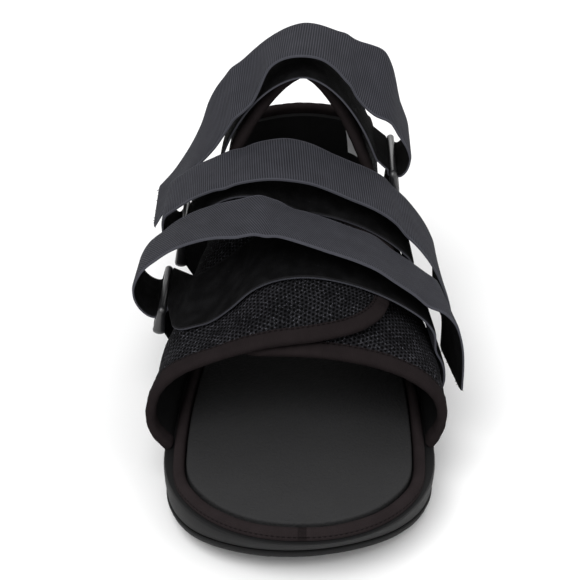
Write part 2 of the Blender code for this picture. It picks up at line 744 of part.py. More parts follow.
def under_strap(strap):
    """Cross sections of a strap's lower layer, laid on the upper from its anchored side."""
    offset = LIFT_ON_UPPER + strap["play"]
    limits = (strap["arch_from"], strap["arch_to"])
    sections = []
    for turn in np.linspace(STRAP_START, strap["last"], UNDER_STEPS):
        middle = y_at(strap["under"].at("along", turn))
        section = []
        for shift in across_strap(STRAP_WIDTH):
            y = middle + shift
            if strap["over_flap"]:
                section.append(off_arch(y, -1, 2 - turn, offset, strap_lap(turn), limits))
            else:
                section.append(off_arch(y, strap["anchor"], turn, offset, 0.0, limits))
        sections.append(section)
    return sections


def ring_bar(ring, low=False):
    """Centre of a ring's upper bar, or of its lower bar."""
    y = y_at(ring["along"])
    centre = np.array([ring["across"] * REACH, y, wrap_base(y) + ring["height"] * WRAP_HEIGHT])
    if low:
        centre += np.array([ring["side"] * ring["lean"], 0, -1]) * (RING_HEIGHT - 2 * RING_BAR)
    return centre


def round_bar(ring, low, angles, thickness, width):
    """Cross sections of a strap that turns round a bar, at angles from the shoe side, down and outwards."""
    centre = ring_bar(ring, low)
    radius = RING_BAR + GAP + thickness / 2
    tilt = ring["tilt"] * WRAP_HEIGHT
    sections = []
    for angle in np.radians(angles):
        turn = np.array([-ring["side"] * math.cos(angle), 0, -math.sin(angle)]) * radius
        section = []
        for shift in across_strap(width):
            section.append(centre + turn + np.array([0, shift, tilt * shift / STRAP_WIDTH]))
        sections.append(section)
    return sections


def outer_strap(table, width):
    """Cross sections of a strap's upper layer in the air above the lower one."""
    sections = []
    for row in table.rows():
        y = y_at(row["along"])
        z = wrap_base(y) + row["height"] * WRAP_HEIGHT
        section = []
        for shift in across_strap(width):
            lift = row["tilt"] * WRAP_HEIGHT * shift / STRAP_WIDTH
            section.append(np.array([row["across"] * REACH, y + shift, z + lift]))
        sections.append(section)
    return sections


def between(before, after, cuts):
    """Cross sections of the free run that joins two laid stretches of a strap."""
    return list(smooth_path(before[-2:] + after[:2], cuts)[cuts + 1:2 * cuts])


def build_strap(name):
    """One strap: lower layer from the sole, turn round the ring, upper layer back to its free end."""
    strap = STRAPS[name]
    laid = under_strap(strap)
    if strap["bridge"]:
        laid += outer_strap(strap["bridge"], STRAP_WIDTH)
    turned = round_bar(RINGS[name], False, (-15, 30, 75, 120), STRAP_THICKNESS, STRAP_WIDTH)
    loose = smooth_path(turned[-1:] + outer_strap(strap["outer"], STRAP_WIDTH), 2)[1:]
    sections = laid + between(laid, turned, 4) + turned + list(loose)
    add_object("strap_" + name, ribbon(sections, STRAP_THICKNESS), (0.030, 0.031, 0.036), 0.75)


def build_ring(name):
    """Moulded loop: two thin bars along the shoe joined by two thicker flat ends."""
    ring = RINGS[name]
    top = ring_bar(ring)
    low = ring_bar(ring, low=True)
    half = STRAP_WIDTH / 2 + RING_SIDE_PLAY + RING_BAR
    drop = low - top
    depth = np.linalg.norm(drop)
    down = drop / depth
    along = np.array([0, 1, ring["tilt"] * WRAP_HEIGHT / STRAP_WIDTH])
    out = np.cross(along, down)
    out /= np.linalg.norm(out)
    middle = (top + low) / 2
    corner = RING_BAR + RING_SIDE_PLAY - GAP
    path, swell = [], []
    quarter = np.linspace(0, math.pi / 2, 5)
    for sign_y, sign_z, order in ((1, -1, 1), (1, 1, -1), (-1, 1, 1), (-1, -1, -1)):
        for angle in quarter[::order]:
            u = sign_y * (half - corner + corner * math.sin(angle))
            v = sign_z * (depth / 2 - corner + corner * math.cos(angle))
            path.append(middle + along * u + down * v)
            swell.append(math.sin(angle) ** 2)
    path = np.array(path)
    ahead = np.roll(path, -1, axis=0) - np.roll(path, 1, axis=0)
    ahead /= np.linalg.norm(ahead, axis=1)[:, None]
    mesh_data = bmesh.new()
    rings = []
    sides = 8
    for point, direction, share in zip(path, ahead, swell):
        inward = np.cross(direction, out)
        wide = RING_BAR + (RING_END - RING_BAR) * share
        loop = []
        for k in range(sides):
            angle = 2 * math.pi * k / sides
            loop.append(mesh_data.verts.new(point + out * wide * math.cos(angle) + inward * RING_BAR * math.sin(angle)))
        rings.append(loop)
    for a, b in zip(rings, rings[1:] + rings[:1]):
        for k in range(sides):
            m = (k + 1) % sides
            mesh_data.faces.new((a[k], a[m], b[m], b[k]))
    add_object("ring_" + name, mesh_data, (0.03, 0.03, 0.032), 0.35)


def build_tab(name):
    """Webbing that lies on the upper from the sole and turns round the ring's lower bar."""
    ring = RINGS[name]
    side = ring["side"]
    low = ring_bar(ring, low=True)
    offset = 2 * DRAPE_GAP + TAB_THICKNESS / 2
    rise = (low[2] - wrap_base(low[1])) / (WRAP.at("belly", ring["along"]) * BELLY_HEIGHT)
    last = min(BELLY_TURN * rise * 0.7, BELLY_TURN * 0.9)
    sections = []
    for turn in np.linspace(0.01, last, 8):
        section = []
        for shift in across_strap(TAB_WIDTH):
            section.append(off_arch(low[1] + shift, side, turn, offset))
        sections.append(section)
    sections += round_bar(ring, True, (30, -15, -60, -105, -150, -185), TAB_THICKNESS, TAB_WIDTH)
    add_object("tab_" + name, ribbon(sections, TAB_THICKNESS), (0.012, 0.012, 0.013), 0.85)


def stand_over_origin():
    """Slide the finished shoe level, so that the middle of its outline stands over the origin."""
    corners = []
    for piece in bpy.data.objects:
        if not piece.hide_render:
            corners += [vertex.co for vertex in piece.data.vertices]
    corners = np.array(corners)
    middle = (corners.min(axis=0) + corners.max(axis=0)) / 2
    for piece in bpy.data.objects:
        piece.data.transform(Matrix.Translation((-middle[0], -middle[1], 0)))


def build():
    """Model the whole shoe in an empty scene."""
    for piece in list(bpy.data.objects):
        bpy.data.objects.remove(piece)
    build_sole()
    build_footbed()
    build_upper()
    build_heel_pad()
    for name in STRAPS:
        build_strap(name)
        build_ring(name)
        build_tab(name)
    stand_over_origin()


build()
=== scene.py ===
"""Post operative shoe, dressed: ribbed straps lined with pile, bound spacer mesh and a foam sole.

Metres, +Z up, toe at -Y, heel at +Y, floor at Z = 0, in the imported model's frame.
"""

import logging
import math
from bisect import bisect_left
from dataclasses import dataclass, replace
from enum import IntEnum
from typing import Callable, Optional, Sequence, Union

import bmesh
import bpy
import numpy as np
from mathutils import Matrix, Vector
from mathutils.bvhtree import BVHTree


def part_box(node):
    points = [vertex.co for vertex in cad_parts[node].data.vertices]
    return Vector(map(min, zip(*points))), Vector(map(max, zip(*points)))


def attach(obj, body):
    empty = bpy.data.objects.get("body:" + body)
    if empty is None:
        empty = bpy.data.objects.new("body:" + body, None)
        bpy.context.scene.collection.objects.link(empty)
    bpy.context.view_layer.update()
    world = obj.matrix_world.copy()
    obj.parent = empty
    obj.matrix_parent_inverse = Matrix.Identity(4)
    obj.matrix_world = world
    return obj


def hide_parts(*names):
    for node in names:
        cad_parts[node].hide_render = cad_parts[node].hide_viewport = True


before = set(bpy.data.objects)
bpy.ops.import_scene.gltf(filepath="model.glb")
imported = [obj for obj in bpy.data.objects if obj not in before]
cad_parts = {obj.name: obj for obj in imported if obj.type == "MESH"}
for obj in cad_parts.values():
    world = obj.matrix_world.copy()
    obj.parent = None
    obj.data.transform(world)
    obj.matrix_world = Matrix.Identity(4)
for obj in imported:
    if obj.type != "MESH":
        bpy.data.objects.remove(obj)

LOG = logging.getLogger("shoe")
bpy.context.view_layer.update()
MM = 0.001
GAP = 0.0003
DRAPE_GAP = 0.0005
WALL = 0.0026
FLAP_LIFT = 0.0058

Colour = tuple[float, float, float]


class Table:
    """Rows of shares under named columns, read between the rows by a curve that never overshoots."""

    def __init__(self, columns: str, rows: Sequence[Sequence[float]]) -> None:
        """Keep the rows.

        Args:
            columns: names of the columns, parted by spaces.
            rows: one row of numbers for each place.
        """
        self.columns = columns.split()
        self.values = [[float(x) for x in row] for row in rows]
        self.places = [row[0] for row in self.values]
        self.slopes: dict[str, list[float]] = {}

    def slope(self, k: int) -> list[float]:
        """Slope of a column at each row, level at its turning points.

        Args:
            k: number of the column.

        Returns:
            One slope for each row.
        """
        rows = self.values
        rise = [(high[k] - low[k]) / (high[0] - low[0]) for low, high in zip(rows, rows[1:])]
        inner = [2 * a * b / (a + b) if a * b > 0 else 0.0 for a, b in zip(rise, rise[1:])]
        return [0.0, *inner, 0.0]

    def at(self, column: str, place: float) -> float:
        """Read a column.

        Args:
            column: name of the column.
            place: place along the first column.

        Returns:
            The column's value there.
        """
        if column not in self.slopes:
            self.slopes[column] = self.slope(self.columns.index(column))
        place = float(min(max(place, self.places[0]), self.places[-1]))
        i = min(max(bisect_left(self.places, place) - 1, 0), len(self.places) - 2)
        k, slopes = self.columns.index(column), self.slopes[column]
        low, high, step = self.values[i][k], self.values[i + 1][k], self.places[i + 1] - self.places[i]
        t = (place - self.places[i]) / step
        start = (1 + 2 * t) * (1 - t) ** 2 * low + t * (1 - t) ** 2 * step * slopes[i]
        end = t * t * (3 - 2 * t) * high + t * t * (t - 1) * step * slopes[i + 1]
        return start + end

    def rows(self) -> list[dict[str, float]]:
        """Each row as a dictionary of its columns."""
        return [dict(zip(self.columns, row)) for row in self.values]


# along: share of the length from the toe; left and right: share of half the ball width;
# spring: share of the toe spring; top: share of the sole height
SOLE = Table("along left right spring top", [
    (0.00, 1.000, 1.000, 1.00, 0.68),
    (0.07, 1.000, 1.000, 0.64, 0.68),
    (0.14, 1.000, 1.000, 0.32, 0.68),
    (0.21, 1.000, 1.000, 0.08, 0.68),
    (0.28, 0.995, 0.998, 0.00, 0.69),
    (0.44, 0.925, 0.950, 0.00, 0.75),
    (0.54, 0.850, 0.885, 0.14, 0.81),
    (0.65, 0.790, 0.815, 0.14, 0.87),
    (0.75, 0.755, 0.765, 0.00, 0.93),
    (0.85, 0.735, 0.738, 0.00, 0.98),
    (0.94, 0.730, 0.730, 0.00, 1.00),
    (1.00, 0.730, 0.730, 0.15, 1.00),
])

# along: share of the length from the toe; bulge: share of the bulge, outwards from the sole edge;
# belly: share of the belly height; top: share of the wrap height; square: power of that side's arch
WRAP = Table("along bulge_left bulge_right belly top square_left square_right", [
    (0.20, 1.00, 0.55, 0.43, 0.345, 2.5, 2.4),
    (0.26, 0.95, 0.66, 0.43, 0.405, 2.4, 2.2),
    (0.34, 0.75, 0.66, 0.45, 0.475, 2.2, 1.9),
    (0.43, 0.50, 0.45, 0.50, 0.515, 2.0, 1.75),
    (0.50, 0.42, 0.20, 0.60, 0.522, 2.0, 1.80),
    (0.57, 0.25, 0.05, 0.70, 0.550, 2.0, 2.0),
    (0.63, 0.08, -0.35, 0.80, 0.610, 2.0, 2.0),
    (0.66, 0.00, -0.62, 0.88, 0.700, 1.9, 1.9),
    (0.68, -0.05, -0.75, 0.92, 0.880, 1.8, 1.8),
    (0.71, -0.12, -0.85, 0.95, 1.000, 1.7, 1.7),
    (0.75, -0.25, -0.85, 0.95, 1.000, 1.7, 1.7),
    (0.80, -0.30, -0.70, 0.85, 0.970, 1.8, 1.8),
    (0.89, -0.25, -0.35, 0.70, 0.850, 2.2, 2.2),
    (1.00, -0.20, -0.20, 0.60, 0.820, 2.2, 2.2),
])

# along: share of the length from the toe; left and right: how far the wall of that side runs,
# where 0 is the sole edge, 1 the middle of the instep and more than 1 is past the middle
EDGE = Table("along left right", [
    (0.200, 1.24, 1.18),
    (0.260, 1.30, 1.20),
    (0.380, 1.38, 1.20),
    (0.480, 1.43, 1.18),
    (0.510, 1.42, 1.05),
    (0.530, 1.34, 0.85),
    (0.550, 1.10, 0.68),
    (0.570, 0.82, 0.56),
    (0.590, 0.60, 0.50),
    (0.615, 0.47, 0.46),
    (0.655, 0.42, 0.47),
    (0.675, 0.46, 0.56),
    (0.690, 0.62, 0.68),
    (0.702, 0.84, 0.86),
    (0.714, 0.982, 0.982),
    (0.758, 0.982, 0.982),
    (0.775, 0.89, 0.89),
    (0.790, 0.78, 0.78),
    (0.810, 0.65, 0.65),
    (0.832, 0.56, 0.56),
    (0.860, 0.51, 0.51),
    (0.900, 0.48, 0.48),
    (1.000, 0.46, 0.46),
])

# turn: place across the arch, 0 at the sole edge, 1 in the middle, 2 at the other sole edge;
# sweep: share of the front sweep by which a flap's front edge runs back there
LEFT_FRONT = Table("turn sweep", [
    (0.00, 0.00), (0.20, 0.07), (0.60, 0.18), (1.00, 0.33), (1.12, 0.46), (1.24, 0.70), (1.40, 1.00),
])
RIGHT_FRONT = Table("turn sweep", [
    (0.00, 0.10), (0.20, 0.15), (0.60, 0.22), (1.00, 0.30), (1.22, 0.38), (1.40, 0.42),
])
FRONT_ALONG = 0.2234
SWEEP_END_ALONG = 0.47

# turn: place across the arch, from the anchored side's sole edge to the ring's side;
# along: middle of the strap there, as a share of the length
UNDER_FRONT = Table("turn along", [
    (0.07, 0.404), (0.25, 0.404), (0.60, 0.418), (1.00, 0.430), (1.15, 0.426),
    (1.30, 0.398), (1.45, 0.392), (1.58, 0.430), (1.66, 0.468),
])
UNDER_MID = Table("turn along", [
    (0.07, 0.567), (0.25, 0.569), (0.60, 0.578), (1.00, 0.590), (1.30, 0.600), (1.45, 0.612),
])
UNDER_ANKLE = Table("turn along", [
    (0.07, 0.810), (0.25, 0.795), (0.60, 0.752), (1.00, 0.732), (1.30, 0.732), (1.55, 0.734),
])

# across: share of the reach, half the ball width and the bulge together;
# along: share of the length from the toe; height: share of the wrap height above the sole edge;
# tilt: how much higher the heel-side edge is, as a share of the wrap height
OUTER_FRONT = Table("across along height tilt", [
    (-0.996, 0.491, 0.232, -0.019),
    (-1.060, 0.491, 0.245, -0.026),
    (-1.120, 0.491, 0.290, -0.040),
    (-1.134, 0.491, 0.352, -0.056),
    (-1.072, 0.489, 0.437, -0.056),
    (-0.970, 0.486, 0.499, -0.056),
    (-0.864, 0.479, 0.561, -0.047),
    (-0.727, 0.466, 0.624, -0.037),
    (-0.576, 0.454, 0.672, -0.028),
    (-0.424, 0.443, 0.704, -0.009),
    (-0.303, 0.436, 0.730, -0.009),
    (-0.152, 0.431, 0.723, -0.023),
    (0.000, 0.427, 0.694, -0.037),
    (0.182, 0.424, 0.657, -0.037),
    (0.333, 0.422, 0.624, -0.042),
    (0.485, 0.420, 0.586, -0.036),
    (0.606, 0.418, 0.530, -0.045),
    (0.727, 0.415, 0.480, -0.045),
    (0.848, 0.411, 0.429, -0.047),
    (0.939, 0.410, 0.396, -0.047),
    (1.005, 0.408, 0.345, -0.037),
    (1.045, 0.406, 0.261, -0.019),
    (1.060, 0.404, 0.168, 0.000),
    (1.060, 0.404, 0.056, 0.000),
])
OUTER_MID = Table("across along height tilt", [
    (-0.915, 0.646, 0.312, 0.000),
    (-0.966, 0.643, 0.351, 0.000),
    (-0.985, 0.638, 0.422, 0.000),
    (-0.962, 0.632, 0.488, -0.009),
    (-0.879, 0.625, 0.540, -0.009),
    (-0.780, 0.618, 0.593, -0.009),
    (-0.667, 0.609, 0.641, -0.009),
    (-0.515, 0.603, 0.690, 0.000),
    (-0.364, 0.596, 0.728, 0.009),
    (-0.227, 0.590, 0.753, 0.019),
    (-0.091, 0.587, 0.758, 0.028),
    (0.061, 0.585, 0.740, 0.019),
    (0.197, 0.582, 0.707, 0.009),
    (0.333, 0.580, 0.671, 0.009),
    (0.470, 0.578, 0.636, 0.009),
    (0.591, 0.576, 0.592, 0.009),
    (0.697, 0.574, 0.529, 0.000),
    (0.788, 0.573, 0.461, 0.000),
    (0.871, 0.571, 0.391, -0.009),
    (0.939, 0.569, 0.312, -0.019),
    (0.992, 0.567, 0.219, -0.019),
    (1.030, 0.566, 0.126, 0.000),
    (1.045, 0.564, 0.023, 0.000),
])
OUTER_ANKLE = Table("across along height tilt", [
    (0.700, 0.734, 0.545, 0.000),
    (0.742, 0.734, 0.575, 0.000),
    (0.762, 0.736, 0.626, 0.000),
    (0.739, 0.738, 0.687, 0.000),
    (0.700, 0.738, 0.752, 0.000),
    (0.674, 0.738, 0.817, 0.019),
    (0.641, 0.738, 0.874, 0.075),
    (0.583, 0.738, 0.925, 0.125),
    (0.500, 0.738, 0.965, 0.103),
    (0.394, 0.738, 1.009, 0.056),
    (0.273, 0.738, 1.056, 0.033),
    (0.136, 0.738, 1.098, 0.019),
    (0.000, 0.738, 1.114, 0.014),
    (-0.136, 0.738, 1.095, 0.000),
    (-0.258, 0.738, 1.053, -0.009),
    (-0.348, 0.738, 0.995, 0.014),
    (-0.439, 0.738, 0.934, 0.028),
    (-0.545, 0.738, 0.869, 0.033),
    (-0.636, 0.739, 0.794, 0.037),
    (-0.705, 0.744, 0.710, 0.028),
    (-0.758, 0.754, 0.610, 0.009),
    (-0.833, 0.766, 0.505, -0.009),
    (-0.924, 0.778, 0.395, -0.009),
    (-1.015, 0.785, 0.300, 0.000),
    (-1.114, 0.790, 0.205, 0.037),
])

# Places in the air where the middle strap's lower layer bridges the left ankle flap
BRIDGE_MID = Table("across along height tilt", [
    (-0.200, 0.600, 0.640, 0.020),
    (-0.370, 0.606, 0.655, 0.030),
    (-0.550, 0.614, 0.625, 0.040),
    (-0.735, 0.630, 0.510, 0.020),
])


class Side(IntEnum):
    """Side of the shoe in the frame: left towards -X, right towards +X."""

    LEFT = -1
    RIGHT = 1


def side_name(side: int) -> str:
    """Name of a side, as the tables' columns have it."""
    return "left" if side < 0 else "right"


@dataclass(frozen=True)
class Last:
    """Sizes of the sole and the upper, and the surface that the soft pieces lie on."""

    length: float = 0.282
    ball_width: float = 0.116
    sole_height: float = 0.030
    toe_spring: float = 0.008
    toe_setback: float = 0.004
    toe_skew: float = 0.006
    toe_cap: float = 0.062
    heel_cap: float = 0.046
    cap_power: float = 2.15
    draft: float = 0.0016
    wrap_height: float = 0.107
    bulge: float = 0.008
    belly_height: float = 0.030
    belly_turn: float = 0.2
    heel_axis_along: float = 0.784
    hollow_along: float = 0.36
    hollow_turn: float = 0.70
    hollow_reach_along: float = 0.085
    hollow_reach_turn: float = 0.16
    hollow_depth: float = 0.080
    near_step: float = 0.0008
    near_turn: float = 0.02

    @property
    def toe_y(self) -> float:
        """Place of the toe tip."""
        return -self.length / 2

    @property
    def heel_y(self) -> float:
        """Place of the heel tip."""
        return self.length / 2

    @property
    def reach(self) -> float:
        """Half the ball width and the bulge together."""
        return self.ball_width / 2 + self.bulge

    def y_at(self, along: float) -> float:
        """Place along the shoe from its share of the length."""
        return self.toe_y + along * self.length

    def along_at(self, y: float) -> float:
        """Share of the length from the toe at a place along the shoe."""
        return (y - self.toe_y) / self.length

    def sole_top(self, y: float) -> float:
        """Height of the midsole's upper face."""
        return SOLE.at("top", self.along_at(y)) * self.sole_height

    def wrap_base(self, y: float) -> float:
        """Height at which the upper meets the sole."""
        return self.sole_top(y) + GAP

    def height_at(self, y: float, share: float) -> float:
        """Height of a share of the wrap height above the sole edge."""
        return self.wrap_base(y) + share * self.wrap_height

    def cap_share(self, depth: float, cap: float) -> float:
        """Width left in a round end, from 0 at its tip to 1 where the sides begin.

        Args:
            depth: distance from the end's tip.
            cap: length of the round end.

        Returns:
            The share of the width.
        """
        if depth >= cap:
            return 1.0
        return (1 - (1 - max(depth, 0) / cap) ** self.cap_power) ** (1 / self.cap_power)

    def rim_half(self, side: int, y: float) -> float:
        """Half width of the sole's outline.

        Args:
            side: -1 left, 1 right.
            y: place along the shoe.

        Returns:
            The distance from the middle line.
        """
        share = SOLE.at(side_name(side), self.along_at(y)) * self.ball_width / 2
        toe = self.cap_share(y - self.toe_y, self.toe_cap)
        return share * toe * self.cap_share(self.heel_y - y, self.heel_cap)

    def cap_places(self, cap: float, steps: int) -> list[float]:
        """Distances from a round end's tip that space its points evenly round the curve."""
        turns = np.linspace(0, math.pi / 2, steps + 1)
        return [cap * (1 - math.cos(turn) ** (2 / self.cap_power)) for turn in turns]

    def outline(self, cap_steps: int, side_steps: int) -> np.ndarray:
        """Closed outline of the sole: toe tip, left side, heel tip, right side.

        Args:
            cap_steps: steps in each quarter of the round ends.
            side_steps: steps in each side.

        Returns:
            Points in the floor's plane, one row each.
        """
        toe = [self.toe_y + d for d in self.cap_places(self.toe_cap, cap_steps)]
        heel = [self.heel_y - d for d in self.cap_places(self.heel_cap, cap_steps)]
        places = toe + list(np.linspace(toe[-1], heel[-1], side_steps + 1)[1:-1]) + heel[::-1]
        left = [(-self.rim_half(-1, y), y) for y in places]
        right = [(self.rim_half(1, y), y) for y in places[1:-1]]
        return np.array(left + right[::-1])

    def toe_share(self, y: np.ndarray) -> np.ndarray:
        """1 at the toe tip, fading to 0 where the toe's round end begins."""
        return (1 - np.clip((y - self.toe_y) / self.toe_cap, 0, 1)) ** 2

    def hollow(self, along: float, side: int, turn: float) -> float:
        """How far the left side sinks in the hollow under the front strap.

        Args:
            along: share of the length from the toe.
            side: -1 left, 1 right.
            turn: place across the arch.

        Returns:
            The depth.
        """
        if side > 0:
            return 0.0
        away = ((along - self.hollow_along) / self.hollow_reach_along) ** 2
        away += ((turn - self.hollow_turn) / self.hollow_reach_turn) ** 2
        return self.hollow_depth * self.wrap_height * math.exp(-away)

    def point(self, y: float, side: int, turn: float, lap: float = 0.0,
              limits: tuple[float, float] = (0.0, 1.0)) -> np.ndarray:
        """Point of the upper's outer face.

        Args:
            y: place along the shoe.
            side: -1 left, 1 right.
            turn: 0 at the sole edge, 1 at the top, more than 1 over the far side.
            lap: how far the top and the far side are lifted over another flap.
            limits: shares of the length between which the arch's shape is read.

        Returns:
            The point.
        """
        if turn > 1:
            found = self.point(y, -side, 2 - turn, 0.0, limits)
            low = (2 - turn) < self.belly_turn
            angle = 0 if low else (2 - turn - self.belly_turn) / (1 - self.belly_turn) * math.pi / 2
            found[0] -= side * lap * math.cos(angle) * min((2 - turn) / self.belly_turn, 1)
            found[2] += lap * math.sin(angle)
            return found
        along = min(max(self.along_at(y), limits[0]), limits[1])
        name = side_name(side)
        belly = WRAP.at("belly", along) * self.belly_height
        bulge = WRAP.at("bulge_" + name, along) * self.bulge
        power = WRAP.at("square_" + name, along)
        height = WRAP.at("top", along) * self.wrap_height
        axis_y = min(y, self.y_at(self.heel_axis_along))
        rim_x = side * (self.rim_half(side, y) - self.draft * 0.6)
        reach = math.hypot(rim_x, y - axis_y)
        if turn < self.belly_turn:
            rise = turn / self.belly_turn
            swell = 1 - (1 - rise) ** 2 if bulge > 0 else rise ** 3 * (10 - 15 * rise + 6 * rise * rise)
            radius = reach + bulge * swell
            z = belly * rise
        else:
            angle = (turn - self.belly_turn) / (1 - self.belly_turn) * math.pi / 2
            radius = (reach + bulge) * max(math.cos(angle), 0) ** (2 / power)
            z = belly + (height - belly) * math.sin(angle) ** (2 / power) + lap * math.sin(angle)
            z -= self.hollow(along, side, turn)
        x, heelward = rim_x * radius / reach, (y - axis_y) * radius / reach
        return np.array([x, axis_y + heelward, self.wrap_base(y) + z])

    def normal(self, y: float, side: int, turn: float, lap: float = 0.0,
               limits: tuple[float, float] = (0.0, 1.0)) -> np.ndarray:
        """Unit normal of the upper's outer face, level at the sole edge.

        Args:
            y: place along the shoe.
            side: -1 left, 1 right.
            turn: place across the arch, as for point.
            lap: how far the top and the far side are lifted.
            limits: shares of the length between which the arch's shape is read.

        Returns:
            The normal.
        """
        near, turned = self.near_step, self.near_turn
        ahead = self.point(y, side, max(turn + turned, 0), lap, limits)
        behind = self.point(y, side, max(turn - turned, 0), lap, limits)
        along = np.array([-side, 0, 0])
        if self.heel_y - y >= near:
            heelward = self.point(y + near, side, turn, lap, limits)
            along = heelward - self.point(y - near, side, turn, lap, limits)
        normal = np.cross(along, ahead - behind) * side
        if turn == 0:
            normal[2] = 0
        return normal / np.linalg.norm(normal)

    def off(self, y: float, side: int, turn: float, distance: float, lap: float = 0.0,
            limits: tuple[float, float] = (0.0, 1.0)) -> np.ndarray:
        """A point at a distance outside the upper's outer face; other arguments as for point."""
        normal = self.normal(y, side, turn, lap, limits)
        return self.point(y, side, turn, lap, limits) + normal * distance


LAST = Last()
UPPER_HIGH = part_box("upper")[1]
BAND_LOW, BAND_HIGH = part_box("footbed_band")
SHIFT = Vector(((BAND_LOW.x + BAND_HIGH.x) / 2, UPPER_HIGH.y - LAST.heel_y, 0))


class Value:
    """A number over the surface, with arithmetic that adds its Math nodes."""

    def __init__(self, graph: "Graph", socket: bpy.types.NodeSocket) -> None:
        """Wrap an output socket of a graph."""
        self.graph = graph
        self.socket = socket

    def math(self, operation: str, *others: Union["Value", float], first: Optional[float] = None) -> "Value":
        """Add a Math node.

        Args:
            operation: the Math node's operation.
            others: what it takes after this value.
            first: a number that goes before this value.

        Returns:
            The node's result.
        """
        taken = ([] if first is None else [first]) + [self.socket]
        taken += [other.socket if isinstance(other, Value) else other for other in others]
        node = self.graph.node("ShaderNodeMath", {"operation": operation}, dict(enumerate(taken)))
        return Value(self.graph, node.outputs[0])

    def __add__(self, other: Union["Value", float]) -> "Value":
        """Sum."""
        return self.math("ADD", other)

    def __radd__(self, other: float) -> "Value":
        """Sum with a number in front."""
        return self.math("ADD", other)

    def __sub__(self, other: Union["Value", float]) -> "Value":
        """Difference."""
        return self.math("SUBTRACT", other)

    def __rsub__(self, other: float) -> "Value":
        """A number less this value."""
        return self.math("SUBTRACT", first=other)

    def __mul__(self, other: Union["Value", float]) -> "Value":
        """Product."""
        return self.math("MULTIPLY", other)

    def __rmul__(self, other: float) -> "Value":
        """Product with a number in front."""
        return self.math("MULTIPLY", other)

    def __truediv__(self, other: Union["Value", float]) -> "Value":
        """Quotient."""
        return self.math("DIVIDE", other)

    def __rtruediv__(self, other: float) -> "Value":
        """A number divided by this value."""
        return self.math("DIVIDE", first=other)

    def wave(self, pitch: float, shift: Union["Value", float] = 0.0) -> "Value":
        """A wave from 0 to 1 that repeats every pitch, moved by a share of the pitch."""
        return (((self / pitch + shift) * (2 * math.pi)).math("COSINE") * 0.5) + 0.5

    def between(self, low: float, high: float) -> "Value":
        """A soft step.

        Args:
            low: where it is 0.
            high: where it is 1, above or below low.

        Returns:
            The step's value.
        """
        wide = {"interpolation_type": "SMOOTHSTEP"}
        start, end = (1.0, 0.0) if high < low else (0.0, 1.0)
        given = {0: self.socket, 1: min(low, high), 2: max(low, high), 3: start, 4: end}
        return Value(self.graph, self.graph.node("ShaderNodeMapRange", wide, given).outputs[0])


